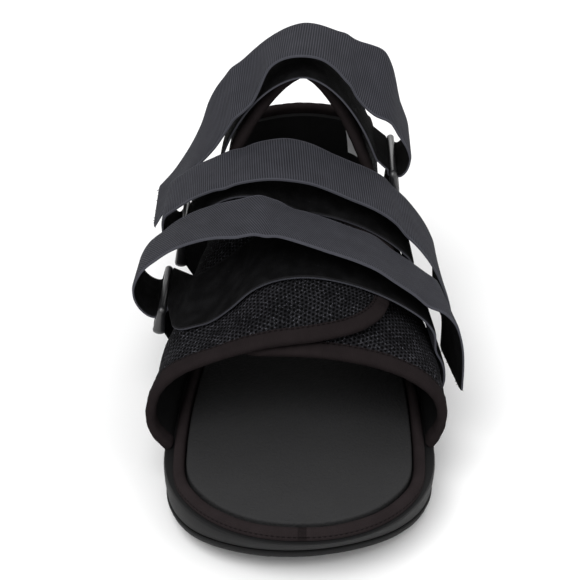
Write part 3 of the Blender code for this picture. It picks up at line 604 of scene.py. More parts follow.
class Graph:
    """The nodes of one material."""

    def __init__(self, name: str) -> None:
        """Start a material with a plain surface.

        Args:
            name: name of the material.
        """
        self.material = bpy.data.materials.new(name)
        self.material.use_nodes = True
        self.tree = self.material.node_tree
        self.surface = self.tree.nodes["Principled BSDF"]

    def node(self, kind: str, settings: dict, inputs: dict) -> bpy.types.Node:
        """Add a node.

        Args:
            kind: the node's type.
            settings: its properties, set first.
            inputs: sockets by name or number, with a value or an output to link.

        Returns:
            The node.
        """
        made = self.tree.nodes.new(kind)
        for key, setting in settings.items():
            setattr(made, key, setting)
        for key, given in inputs.items():
            if isinstance(given, bpy.types.NodeSocket):
                self.tree.links.new(given, made.inputs[key])
            elif given is not None:
                made.inputs[key].default_value = given
        return made

    def cloth(self) -> tuple[Value, Value]:
        """Read the piece's own UV map.

        Returns:
            Millimetres along and across the cloth.
        """
        laid = self.node("ShaderNodeUVMap", {"uv_map": "cloth"}, {})
        parted = self.node("ShaderNodeSeparateXYZ", {}, {0: laid.outputs[0]})
        return Value(self, parted.outputs[0]), Value(self, parted.outputs[1])

    def place(self) -> bpy.types.NodeSocket:
        """Read the place on the piece.

        Returns:
            The place in millimetres.
        """
        coords = self.node("ShaderNodeTexCoord", {}, {}).outputs["Object"]
        scaled = self.node("ShaderNodeVectorMath", {"operation": "SCALE"}, {0: coords, "Scale": 1 / MM})
        return scaled.outputs[0]

    def flat(self, u: Value, v: Value) -> bpy.types.NodeSocket:
        """A vector from two values."""
        return self.node("ShaderNodeCombineXYZ", {}, {0: u.socket, 1: v.socket}).outputs[0]

    def noise(self, vector: bpy.types.NodeSocket, size_mm: float, detail: float = 2.0) -> Value:
        """Soft noise from 0 to 1 with blobs of a size."""
        made = self.node("ShaderNodeTexNoise", {}, {"Vector": vector, "Scale": 1 / size_mm, "Detail": detail})
        return Value(self, made.outputs[0])

    def cells(self, vector: bpy.types.NodeSocket, size_mm: float, feature: str = "F1") -> Value:
        """Scatter cells.

        Args:
            vector: place in millimetres.
            size_mm: size of a cell.
            feature: what is measured in each cell.

        Returns:
            The distance inside the cells.
        """
        given = {"Vector": vector, "Scale": 1 / size_mm}
        made = self.node("ShaderNodeTexVoronoi", {"feature": feature}, given)
        return Value(self, made.outputs["Distance"])

    def speck(self, vector: bpy.types.NodeSocket) -> Value:
        """A random number from 0 to 1 for each whole place of a vector."""
        made = self.node("ShaderNodeTexWhiteNoise", {"noise_dimensions": "3D"}, {"Vector": vector})
        return Value(self, made.outputs[0])

    def mix(self, share: Value, low: Colour, high: Colour) -> None:
        """Colour the surface between two colours.

        Args:
            share: 0 for the first colour, 1 for the second.
            low: the first colour.
            high: the second colour.
        """
        given = {0: share.socket, 6: (*low, 1), 7: (*high, 1)}
        blend = self.node("ShaderNodeMix", {"data_type": "RGBA", "clamp_factor": True}, given)
        self.tree.links.new(blend.outputs[2], self.surface.inputs["Base Color"])

    def rough(self, value: Value) -> None:
        """Vary the surface's roughness."""
        self.tree.links.new(value.socket, self.surface.inputs["Roughness"])

    def relief(self, height: Value, depth_mm: float, strength: float = 1.0) -> None:
        """Raise the surface.

        Args:
            height: height from 0 to 1.
            depth_mm: how high 1 is.
            strength: share of the relief that shows.
        """
        given = {"Height": height.socket, "Distance": depth_mm * MM, "Strength": strength}
        bump = self.node("ShaderNodeBump", {}, given)
        self.tree.links.new(bump.outputs[0], self.surface.inputs["Normal"])


@dataclass(frozen=True)
class Finish:
    """A finish with a plain surface; each kind adds its own pattern."""

    name: str
    colour: Colour
    roughness: float = 0.9
    specular: float = 0.1
    sheen: float = 0.0
    coat: float = 0.0

    def material(self) -> bpy.types.Material:
        """Make the material.

        Returns:
            The material with its pattern.
        """
        graph = Graph(self.name)
        graph.surface.inputs["Base Color"].default_value = (*self.colour, 1)
        graph.surface.inputs["Roughness"].default_value = self.roughness
        graph.surface.inputs["Specular IOR Level"].default_value = self.specular
        graph.surface.inputs["Sheen Weight"].default_value = self.sheen
        graph.surface.inputs["Coat Weight"].default_value = self.coat
        self.pattern(graph)
        return graph.material

    def shade(self, share: float) -> Colour:
        """The finish's colour made darker or lighter."""
        return tuple(part * share for part in self.colour)

    def pattern(self, graph: Graph) -> None:
        """Add the finish's pattern to its graph.

        Args:
            graph: the finish's graph.
        """
        raise NotImplementedError


@dataclass(frozen=True)
class RibbedWebbing(Finish):
    """Webbing with fine ribs across it, each broken by the threads that bind it."""

    rib: float = 1.15
    thread: float = 0.95
    slant: float = 0.45
    half_width: float = 18.0

    def pattern(self, graph: Graph) -> None:
        """Slanting ribs, binding threads, a flat selvedge and slight uneven dye.

        Args:
            graph: the finish's graph.
        """
        u, v = graph.cloth()
        place = (u + v * self.slant) / self.rib
        row = place.math("FLOOR").math("MODULO", 2.0) * 0.5
        rib = place.math("FRACT").between(0.0, 0.5) * place.math("FRACT").between(1.0, 0.5)
        weave = v.wave(self.thread, row)
        edge = v.math("ABSOLUTE").between(self.half_width - 0.9, self.half_width - 0.4)
        cloth = rib * (0.55 + weave * 0.45)
        height = cloth * (1 - edge) + edge * 0.8
        uneven = graph.noise(graph.flat(u, v), 9.0, 3.0)
        fuzz = graph.noise(graph.flat(u, v), 0.35, 2.0)
        graph.mix(height * 0.8 + uneven * 0.3 + fuzz * 0.25 - 0.15, self.shade(0.25), self.shade(1.9))
        graph.relief(height + fuzz * 0.4, 0.32)


@dataclass(frozen=True)
class Pile(Finish):
    """Short brushed pile with a hemmed edge."""

    half_width: float = 18.0

    def pattern(self, graph: Graph) -> None:
        """Nap that lies in patches, fine loops, caught lint and a pressed hem.

        Args:
            graph: the finish's graph.
        """
        u, v = graph.cloth()
        flat = graph.flat(u, v)
        nap = graph.noise(flat, 7.0, 4.0)
        loops = graph.noise(flat, 0.5, 2.0)
        lint = graph.cells(flat, 5.0).between(0.075, 0.03)
        hem = v.math("ABSOLUTE").between(self.half_width - 0.9, self.half_width - 0.4)
        share = nap.between(0.35, 0.75) * 0.3 + loops * 0.25 + lint * 0.9 + hem * 0.5
        graph.mix(share, self.shade(0.5), self.shade(5.5))
        graph.relief((loops + nap * 1.5) * (1 - hem), 0.35)


@dataclass(frozen=True)
class SpacerMesh(Finish):
    """Knitted spacer mesh: staggered holes in a raised net, with painted highlights as glints on its yarn."""

    pitch_along: float = 2.4
    pitch_up: float = 1.75

    def pattern(self, graph: Graph) -> None:
        """Net, holes, painted highlights as yarn glints and slow changes of tone.

        Args:
            graph: the finish's graph.
        """
        u, v = graph.cloth()
        row = (v / self.pitch_up).math("FLOOR")
        shifted = u / self.pitch_along + row.math("MODULO", 2.0) * 0.5
        x = shifted.math("FRACT") - 0.5
        y = (v / self.pitch_up).math("FRACT") - 0.5
        away = (x * x + y * y * 0.8).math("SQRT")
        net = away.between(0.16, 0.46)
        strand = (u * 0.7 + v).wave(0.55)
        chance = graph.speck(graph.flat((shifted * 2).math("FLOOR"), (v / self.pitch_up * 2).math("FLOOR")))
        # painted highlight: bright glints of light on the yarn, mixed into the colour below and made a little
        # smoother
        painted_glint = chance.between(0.45, 1.0) * graph.noise(graph.flat(u, v), 0.55, 1.0).between(0.5, 0.68) * net
        tone = graph.noise(graph.flat(u, v), 12.0, 2.0).between(0.3, 0.7)
        graph.mix(net * 0.07 + net * tone * 0.09 + painted_glint * 1.0, self.shade(0.08), self.shade(10.0))
        graph.relief(net * 0.85 + strand * net * 0.25, 0.6)
        graph.rough(1.0 - painted_glint * 0.4)


@dataclass(frozen=True)
class Binding(Finish):
    """Smooth knitted binding tape, drawn in here and there by its seam."""

    def pattern(self, graph: Graph) -> None:
        """Fine knit along the tape, puckers across it and uneven dye.

        Args:
            graph: the finish's graph.
        """
        u, v = graph.cloth()
        flat = graph.flat(u, v)
        knit = (u.wave(0.7) + v.wave(0.55)) * 0.5
        pucker = graph.noise(graph.flat(u, v * 0.25), 3.2, 2.0)
        tone = graph.noise(flat, 11.0, 3.0)
        seam = v.between(0.8, 1.2) * v.between(1.8, 1.4)
        stitch = seam * u.wave(2.3).between(0.35, 0.65)
        fuzz = graph.noise(flat, 0.4, 2.0)
        shade = knit * 0.25 + tone * 0.45 + pucker * 0.2 + fuzz * 0.25 - seam * 0.5 + stitch * 0.45
        graph.mix(shade, self.shade(0.45), self.shade(1.5))
        graph.relief(knit * 0.18 + pucker * 0.9 - seam * 0.9 + stitch * 0.5, 0.45)


@dataclass(frozen=True)
class GrainedSheet(Finish):
    """Pebbled sheet of the insole."""

    def pattern(self, graph: Graph) -> None:
        """Pebbles, pores, painted light that makes the forefoot paler, and scattered dust.

        Args:
            graph: the finish's graph.
        """
        place = graph.place()
        pebble = graph.cells(place, 1.15, "SMOOTH_F1")
        fine = graph.noise(place, 0.45, 3.0)
        cloud = graph.noise(place, 26.0, 3.0)
        dust = graph.cells(place, 7.0).between(0.035, 0.02)
        along = Value(graph, graph.node("ShaderNodeSeparateXYZ", {}, {0: place}).outputs[1])
        # painted light: the forefoot, open to the lamps, is coloured paler than the heel inside the upper
        front = along.between(-20.0, -125.0)
        share = fine * 0.35 + cloud * 0.25 + front * 0.6 + dust * 1.2 - 0.12
        graph.mix(share, self.shade(0.55), self.shade(1.7))
        graph.relief(pebble * 0.9 + fine * 0.6, 0.3)
        graph.rough(0.62 + fine * 0.25)


@dataclass(frozen=True)
class Foam(Finish):
    """Skin of a moulded foam block."""

    grain: float = 0.6

    def pattern(self, graph: Graph) -> None:
        """Skin with its fine orange peel raised.

        Args:
            graph: the finish's graph.
        """
        graph.relief(self.skin(graph), 0.09)

    def skin(self, graph: Graph) -> Value:
        """Colour and roughness with faint scuffs and dust.

        Args:
            graph: the finish's graph.

        Returns:
            The orange peel.
        """
        place = graph.place()
        peel = graph.noise(place, self.grain, 3.0)
        cloud = graph.noise(place, 18.0, 4.0)
        dust = graph.cells(place, 9.0).between(0.03, 0.018)
        graph.mix(peel * 0.4 + cloud * 0.45 + dust * 1.3 - 0.1, self.shade(0.7), self.shade(1.5))
        graph.rough(self.roughness - 0.1 + cloud * 0.2)
        return peel


@dataclass(frozen=True)
class TreadRubber(Foam):
    """Outsole rubber with fine ribs moulded across its underside."""

    rib: float = 2.6

    def pattern(self, graph: Graph) -> None:
        """Foam's skin, with ribs where the face looks down.

        Args:
            graph: the finish's graph.
        """
        self.skin(graph)
        place = graph.place()
        along = Value(graph, graph.node("ShaderNodeSeparateXYZ", {}, {0: place}).outputs[1])
        facing = graph.node("ShaderNodeNewGeometry", {}, {}).outputs["Normal"]
        upward = graph.node("ShaderNodeSeparateXYZ", {}, {0: facing}).outputs[2]
        down = Value(graph, upward).between(-0.6, -0.9)
        ribs = along.wave(self.rib).between(0.35, 0.65)
        graph.relief(ribs * down + graph.noise(place, self.grain, 3.0) * 0.1, 0.5)


@dataclass(frozen=True)
class MouldedPlastic(Finish):
    """Dark moulded plastic with a soft shine."""

    def pattern(self, graph: Graph) -> None:
        """Faint mould texture and handling marks.

        Args:
            graph: the finish's graph.
        """
        place = graph.place()
        peel = graph.noise(place, 0.9, 2.0)
        marks = graph.noise(place, 4.0, 4.0)
        graph.mix(marks, self.shade(0.8), self.shade(1.25))
        graph.relief(peel, 0.03)
        graph.rough(self.roughness + marks * 0.18)


@dataclass(frozen=True)
class PlainWeave(Finish):
    """Flat woven webbing."""

    thread: float = 1.1

    def pattern(self, graph: Graph) -> None:
        """Over and under threads.

        Args:
            graph: the finish's graph.
        """
        u, v = graph.cloth()
        row = (u / self.thread).math("FLOOR").math("MODULO", 2.0) * 0.5
        weave = v.wave(self.thread, row) * u.wave(self.thread)
        tone = graph.noise(graph.flat(u, v), 6.0, 2.0)
        graph.mix(weave * 0.8 + tone * 0.3, self.shade(0.5), self.shade(1.8))
        graph.relief(weave, 0.3)


@dataclass(frozen=True)
class SmoothLining(Finish):
    """Brushed lining fabric."""

    def pattern(self, graph: Graph) -> None:
        """Fine nap and soft tone.

        Args:
            graph: the finish's graph.
        """
        place = graph.place()
        nap = graph.noise(place, 0.5, 3.0)
        tone = graph.noise(place, 12.0, 3.0)
        graph.mix(nap * 0.4 + tone * 0.5, self.shade(0.6), self.shade(1.5))
        graph.relief(nap, 0.16)


@dataclass(frozen=True)
class PaleFloor(Finish):
    """Pale studio floor."""

    def pattern(self, graph: Graph) -> None:
        """Barely uneven tone.

        Args:
            graph: the finish's graph.
        """
        graph.mix(graph.noise(graph.place(), 400.0, 1.0), self.shade(0.99), self.shade(1.0))


RIBBED = RibbedWebbing("ribbed_webbing", (0.035, 0.0355, 0.0425), 0.9, 0.08)
PILE = Pile("pile", (0.0026, 0.0026, 0.0028), 1.0, 0.05)
MESH = SpacerMesh("spacer_mesh", (0.0105, 0.0105, 0.012), 1.0, 0.05)
BOUND = Binding("binding_tape", (0.0125, 0.0098, 0.0102), 1.0, 0.03)
INSOLE = GrainedSheet("insole_sheet", (0.0175, 0.0175, 0.018), 0.75, 0.12)
FOAM = Foam("sole_foam", (0.0068, 0.0068, 0.0072), 0.6, 0.16)
RUBBER = TreadRubber("tread_rubber", (0.006, 0.006, 0.0063), 0.65, 0.16)
PLASTIC = MouldedPlastic("ring_plastic", (0.012, 0.012, 0.013), 0.26, 0.55, coat=0.25)
WEBBING = PlainWeave("tab_webbing", (0.009, 0.009, 0.0098), 0.9, 0.1)
LINING = SmoothLining("upper_lining", (0.005, 0.005, 0.0052), 0.95, 0.06)
HEEL_LINING = SmoothLining("heel_lining", (0.0055, 0.0055, 0.0058), 0.7, 0.14)
TAPE = SmoothLining("tag_tape", (0.75, 0.75, 0.76), 0.9, 0.05)
FLOOR = PaleFloor("pale_floor", (0.93, 0.93, 0.93), 0.95, 0.0)


def refined(values: Sequence[float], cuts: int) -> list[float]:
    """The values with each span between them cut into equal parts."""
    ends = zip(values, values[1:])
    return [low + (high - low) * k / cuts for low, high in ends for k in range(cuts)] + [values[-1]]


def smooth_path(points: Sequence[np.ndarray], cuts: int) -> np.ndarray:
    """Points of a curve through every given point.

    Args:
        points: points, or cross sections, that the curve runs through.
        cuts: parts that each span is cut into.

    Returns:
        The curve's points.
    """
    points = np.asarray(points)
    padded = np.concatenate([[2 * points[0] - points[1]], points, [2 * points[-1] - points[-2]]])
    path = []
    for a, b, c, d in zip(padded, padded[1:], padded[2:], padded[3:]):
        for t in np.arange(cuts) / cuts:
            path.append(0.5 * (2 * b + (c - a) * t + (2 * a - 5 * b + 4 * c - d) * t ** 2
                               + (3 * b - a - 3 * c + d) * t ** 3))
    path.append(points[-1])
    return np.array(path)


def run_along(points: np.ndarray) -> np.ndarray:
    """Distance along a row of points, from 0 at the first."""
    return np.concatenate([[0], np.cumsum(np.linalg.norm(np.diff(points, axis=0), axis=1))])


def unit(vectors: np.ndarray) -> np.ndarray:
    """The vectors made one long."""
    return vectors / np.linalg.norm(vectors, axis=-1, keepdims=True)


def grid_normals(grid: np.ndarray) -> np.ndarray:
    """Unit normals of a grid of points."""
    return unit(np.cross(np.gradient(grid, axis=0), np.gradient(grid, axis=1)))


def eased(share: float) -> float:
    """A share from 0 to 1 with soft ends."""
    return share * share * (3 - 2 * share)


def both_sides(places: Sequence[float]) -> list[tuple[Side, float]]:
    """Stations up the left side and back down the right, with the last place once."""
    return [(Side.LEFT, y) for y in places] + [(Side.RIGHT, y) for y in places[-2::-1]]


def add_object(name: str, data: bpy.types.ID) -> bpy.types.Object:
    """Add an object to the scene.

    Args:
        name: its name.
        data: its mesh, camera or light.

    Returns:
        The object.
    """
    made = bpy.data.objects.new(name, data)
    bpy.context.scene.collection.objects.link(made)
    return made


@dataclass
class Loft:
    """Closed solid through cross sections that are loops of points.

    Fields:
        sections: sections by loop points by 3, in metres.
        cloth: sections by loop points and one more by 2: place on the cloth in millimetres.
        finish: number of the finish of each loop span; the first where left out.
        joined: whether the last section meets the first.
    """

    sections: np.ndarray
    cloth: np.ndarray
    finish: Optional[Sequence[int]] = None
    joined: bool = False

    def build(self, name: str, *finishes: bpy.types.Material) -> bpy.types.Object:
        """Make the piece.

        Args:
            name: name of the piece.
            finishes: its materials.

        Returns:
            The object, at the origin.
        """
        count, loop = self.sections.shape[:2]
        faces, places, numbers = [], [], []
        for s in range(count if self.joined else count - 1):
            after = (s + 1) % count
            for m in range(loop):
                n = (m + 1) % loop
                faces.append((s * loop + m, s * loop + n, after * loop + n, after * loop + m))
                near, far = self.cloth[s], self.cloth[after]
                places += [near[m], near[m + 1], far[m + 1], far[m]]
                numbers.append(self.finish[m] if self.finish else 0)
        for s in () if self.joined else (0, count - 1):
            order = 1 if s else -1
            for m in range(loop // 2 - 1):
                corners = (m, m + 1, loop - 2 - m, loop - 1 - m)[::order]
                faces.append(tuple(s * loop + k for k in corners))
                places += [self.cloth[s, k] for k in corners]
                numbers.append(0)
        mesh = bpy.data.meshes.new(name)
        mesh.from_pydata([tuple(p) for p in self.sections.reshape(-1, 3) + np.array(SHIFT)], [], faces)
        mesh.uv_layers.new(name="cloth").data.foreach_set("uv", np.array(places, float).ravel())
        mesh.polygons.foreach_set("material_index", numbers)
        shape = bmesh.new()
        shape.from_mesh(mesh)
        inside_out = shape.calc_volume(signed=True) < 0
        shape.free()
        if inside_out:
            mesh.flip_normals()
        mesh.shade_smooth()
        mesh.set_sharp_from_angle(angle=math.radians(50))
        for finish in finishes:
            mesh.materials.append(finish)
        return add_object(name, mesh)


def settle(piece: bpy.types.Object, *nodes: str) -> bpy.types.Object:
    """Let a piece stand for its CAD nodes.

    Args:
        piece: the finished piece.
        nodes: names of the CAD nodes.

    Returns:
        The piece.
    """
    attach(piece, "root")
    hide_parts(*nodes)
    LOG.info("%s: %d faces for %s", piece.name, len(piece.data.polygons), ", ".join(nodes))
    return piece


@dataclass
class Sole:
    """Outsole with its lip and grooves, and the midsole block."""

    outsole_thickness: float = 0.0045
    lip: float = 0.0008
    groove_width: float = 0.003
    groove_depth: float = 0.0016
    groove_reach: float = 0.72
    grooves: tuple[float, ...] = (0.29, 0.33, 0.37, 0.41, 0.76, 0.80, 0.84, 0.88)

    def levels(self, steps: Sequence[tuple[float, float, float]]) -> list[np.ndarray]:
        """Outlines of the sole's side.

        Args:
            steps: rise, inset and share of the way up for each outline.

        Returns:
            The outlines from bottom to top.
        """
        rim = LAST.outline(30, 60)
        base = np.array([SOLE.at("spring", LAST.along_at(y)) * LAST.toe_spring for y in rim[:, 1]])
        base += self.outsole_thickness
        top = np.array([LAST.sole_top(y) for y in rim[:, 1]])
        setback = LAST.toe_setback * LAST.toe_share(rim[:, 1])
        loops = []
        for rise, drawn_in, share in steps:
            loop = inset(rim, drawn_in + setback * (1 - share))
            x = loop[:, 0] - LAST.toe_skew * (1 - share) * LAST.toe_share(loop[:, 1])
            heights = base + rise + share * (top - base - rise)
            loops.append(np.stack([x, loop[:, 1], heights], axis=1) + np.array(SHIFT))
        return loops

    def block(self, name: str, loops: list[np.ndarray], finish: bpy.types.Material) -> bpy.types.Object:
        """Extrude a circle, placed on the first outline, through the others.

        Args:
            name: name of the piece.
            loops: outlines from bottom to top.
            finish: its material.

        Returns:
            The object.
        """
        bpy.ops.object.select_all(action="DESELECT")
        bpy.ops.mesh.primitive_circle_add(vertices=len(loops[0]), radius=1.0, fill_type="NGON")
        piece = bpy.context.object
        piece.name = piece.data.name = name
        bpy.ops.object.mode_set(mode="EDIT")
        bpy.ops.mesh.select_all(action="SELECT")
        places = {}
        shape = bmesh.from_edit_mesh(piece.data)
        for number, vertex in enumerate(shape.verts):
            vertex.co = loops[0][number]
            places[tuple(round(c, 7) for c in vertex.co)] = number
        bmesh.update_edit_mesh(piece.data)
        for loop in loops[1:]:
            bpy.ops.mesh.extrude_region_move()
            shape = bmesh.from_edit_mesh(piece.data)
            moved = [(v, places[tuple(round(c, 7) for c in v.co)]) for v in shape.verts if v.select]
            places = {}
            for vertex, number in moved:
                vertex.co = loop[number]
                places[tuple(round(c, 7) for c in vertex.co)] = number
            bmesh.update_edit_mesh(piece.data)
        bpy.ops.mesh.select_all(action="SELECT")
        bpy.ops.mesh.normals_make_consistent(inside=False)
        bpy.ops.mesh.quads_convert_to_tris(ngon_method="BEAUTY")
        bpy.ops.object.mode_set(mode="OBJECT")
        piece.data.materials.append(finish)
        bpy.ops.object.shade_smooth_by_angle(angle=math.radians(35))
        return piece

    def build(self) -> None:
        """Model the outsole and the midsole."""
        draft, lip, thick = LAST.draft, self.lip, self.outsole_thickness
        tread = self.block("outsole_block", self.levels([
            (-thick, draft + 2.6 * lip, 0), (-thick * 0.93, draft + 1.6 * lip, 0), (-thick * 0.7, draft, 0),
            (-thick * 0.2, draft - lip, 0), (-thick * 0.08, draft - lip * 0.9, 0), (0, draft - lip / 3, 0),
        ]), RUBBER.material())
        for along in self.grooves:
            self.cut(tread, LAST.y_at(along))
        settle(tread, "outsole")
        foam = self.block("midsole_block", self.levels([
            (GAP, draft + lip, 0), (GAP, draft * 0.75, 0.06), (GAP, draft * 0.6, 0.18),
            (GAP, draft * 0.36, 0.36), (GAP, draft * 0.2, 0.55), (GAP, draft * 0.1, 0.84),
            (GAP, draft * 0.16, 0.93), (GAP, draft * 0.4, 0.985), (GAP, draft * 0.75, 1.0),
        ]), FOAM.material())
        settle(foam, "midsole")

    def cut(self, tread: bpy.types.Object, y: float) -> None:
        """Cut one groove across the tread.

        Args:
            tread: the outsole.
            y: place of the groove along the shoe.
        """
        reach = min(LAST.rim_half(-1, y), LAST.rim_half(1, y)) * self.groove_reach
        bpy.ops.object.select_all(action="DESELECT")
        bpy.ops.mesh.primitive_cube_add(size=1.0, location=(SHIFT.x, y + SHIFT.y, 0))
        cutter = bpy.context.object
        cutter.scale = (2 * reach, self.groove_width, 2 * self.groove_depth)
        bpy.ops.object.transform_apply(location=True, scale=True)
        cutter.select_set(False)
        tread.select_set(True)
        bpy.context.view_layer.objects.active = tread
        groove = tread.modifiers.new("groove", "BOOLEAN")
        groove.operation = "DIFFERENCE"
        groove.object = cutter
        bpy.ops.object.modifier_apply(modifier=groove.name)
        bpy.data.objects.remove(cutter)


def inset(loop: np.ndarray, distance: Union[float, np.ndarray]) -> np.ndarray:
    """Move an outline inwards.

    Args:
        loop: the outline's points.
        distance: one distance, or one for each point.

    Returns:
        The moved outline.
    """
    ahead = np.roll(loop, -1, axis=0) - np.roll(loop, 1, axis=0)
    outward = unit(np.stack([-ahead[:, 1], ahead[:, 0]], axis=1))
    if ((loop - loop.mean(axis=0)) * outward).sum() < 0:
        outward = -outward
    return loop - outward * np.broadcast_to(distance, len(loop))[:, None]


@dataclass
class Footbed:
    """Padded band round the footbed and the insole inside it."""

    band_width: float = 0.0052
    band_height: float = 0.0042
    groove: float = 0.0006
    ledge: float = 0.0010
    play: float = 0.0010
    insole_rise: float = 0.0044
    insole_edge: float = 0.0010
    cross_strips: int = 14
    inset_from: float = 0.10
    inset_run: float = FRONT_ALONG - 0.12
    ripple: float = 0.03
    ripple_length: float = 0.0043
    around_mm: float = 0.8

    def start(self, y: float) -> float:
        """How far the band stands in from the sole's edge.

        Args:
            y: place along the shoe.

        Returns:
            The distance.
        """
        near = LAST.draft * 0.6
        share = eased(np.clip((LAST.along_at(y) - self.inset_from) / self.inset_run, 0, 1))
        return near + self.ledge * (1 - share) + (WALL + self.play) * share

    def build(self) -> None:
        """Model the band and the insole."""
        rim = LAST.outline(30, 70)
        base = np.array([LAST.sole_top(y) for y in rim[:, 1]]) + GAP
        start = np.array([self.start(y) for y in rim[:, 1]])
        arc = [(0.5 - 0.5 * math.cos(a), math.sin(a) ** 0.7) for a in np.linspace(0.0, math.pi, 11)[1:-1]]
        section = [(0.0, 0.0), (0.0, 0.3), *arc, (1.0, 0.3), (1.0, 0.0), (0.5, 0.0)]
        run = run_along(np.concatenate([rim, rim[:1]]))
        loops, cloth = [], []
        for across, up in section:
            loop = inset(rim, start + across * self.band_width)
            ripple = 1 + self.ripple * np.sin(run[:-1] / self.ripple_length) * up
            loops.append(np.stack([loop[:, 0], loop[:, 1], base + up * self.band_height * ripple], axis=1))
        for v in range(len(section) + 1):
            cloth.append(np.stack([run[:-1] / MM, np.full(len(rim), v * self.around_mm)], axis=1))
        band = Loft(np.array(loops).swapaxes(0, 1), np.array(cloth).swapaxes(0, 1), joined=True)
        tape = replace(BOUND, name="footbed_tape", colour=BOUND.shade(1.4))
        settle(band.build("footbed_binding", tape.material()), "footbed_band")
        self.build_insole(rim, base, start + self.band_width + self.groove)

    def build_insole(self, rim: np.ndarray, base: np.ndarray, edge: np.ndarray) -> None:
        """Model the insole as a plate with a soft edge.

        Args:
            rim: outline of the sole.
            base: height of the sole's top at each point.
            edge: how far the insole stands in at each point.
        """
        soft, rise = self.insole_edge, self.insole_rise
        loops = []
        for turn in np.linspace(0, math.pi / 2, 5):
            loop = inset(rim, edge + soft * (1 - math.cos(turn)))
            height = base + rise - soft * (1 - math.sin(turn))
            loops.append(np.stack([loop[:, 0], loop[:, 1], height], axis=1))
        low = loops[0].copy()
        low[:, 2] = base
        shape = bmesh.new()
        rings = [[shape.verts.new(Vector(p) + SHIFT) for p in loop] for loop in [low, *loops]]
        count = len(rim)
        for below, above in zip(rings, rings[1:]):
            for i in range(count):
                shape.faces.new((below[i], below[(i + 1) % count], above[(i + 1) % count], above[i]))
        for ring in (rings[0], rings[-1]):
            self.strips(shape, ring)
        bmesh.ops.recalc_face_normals(shape, faces=shape.faces)
        mesh = bpy.data.meshes.new("insole_sheet")
        shape.to_mesh(mesh)
        shape.free()
        mesh.shade_smooth()
        mesh.set_sharp_from_angle(angle=math.radians(40))
        mesh.materials.append(INSOLE.material())
        settle(add_object("insole_sheet", mesh), "insole")

    def strips(self, shape: bmesh.types.BMesh, ring: list[bmesh.types.BMVert]) -> None:
        """Close an outline with rows of faces from its left side to its right side.

        Args:
            shape: the mesh.
            ring: the outline from the toe tip up the left side and back down the right.
        """
        count = len(ring)
        half = count // 2
        rows = []
        for i in range(1, half):
            left, right = ring[i], ring[count - i]
            between = [shape.verts.new(left.co.lerp(right.co, k / self.cross_strips))
                       for k in range(1, self.cross_strips)]
            rows.append([left, *between, right])
        for low, high in zip(rows, rows[1:]):
            for k in range(self.cross_strips):
                shape.faces.new((low[k], low[k + 1], high[k + 1], high[k]))
        for tip, row in ((ring[0], rows[0]), (ring[half], rows[-1])):
            for k in range(self.cross_strips):
                shape.faces.new((tip, row[k], row[k + 1]))


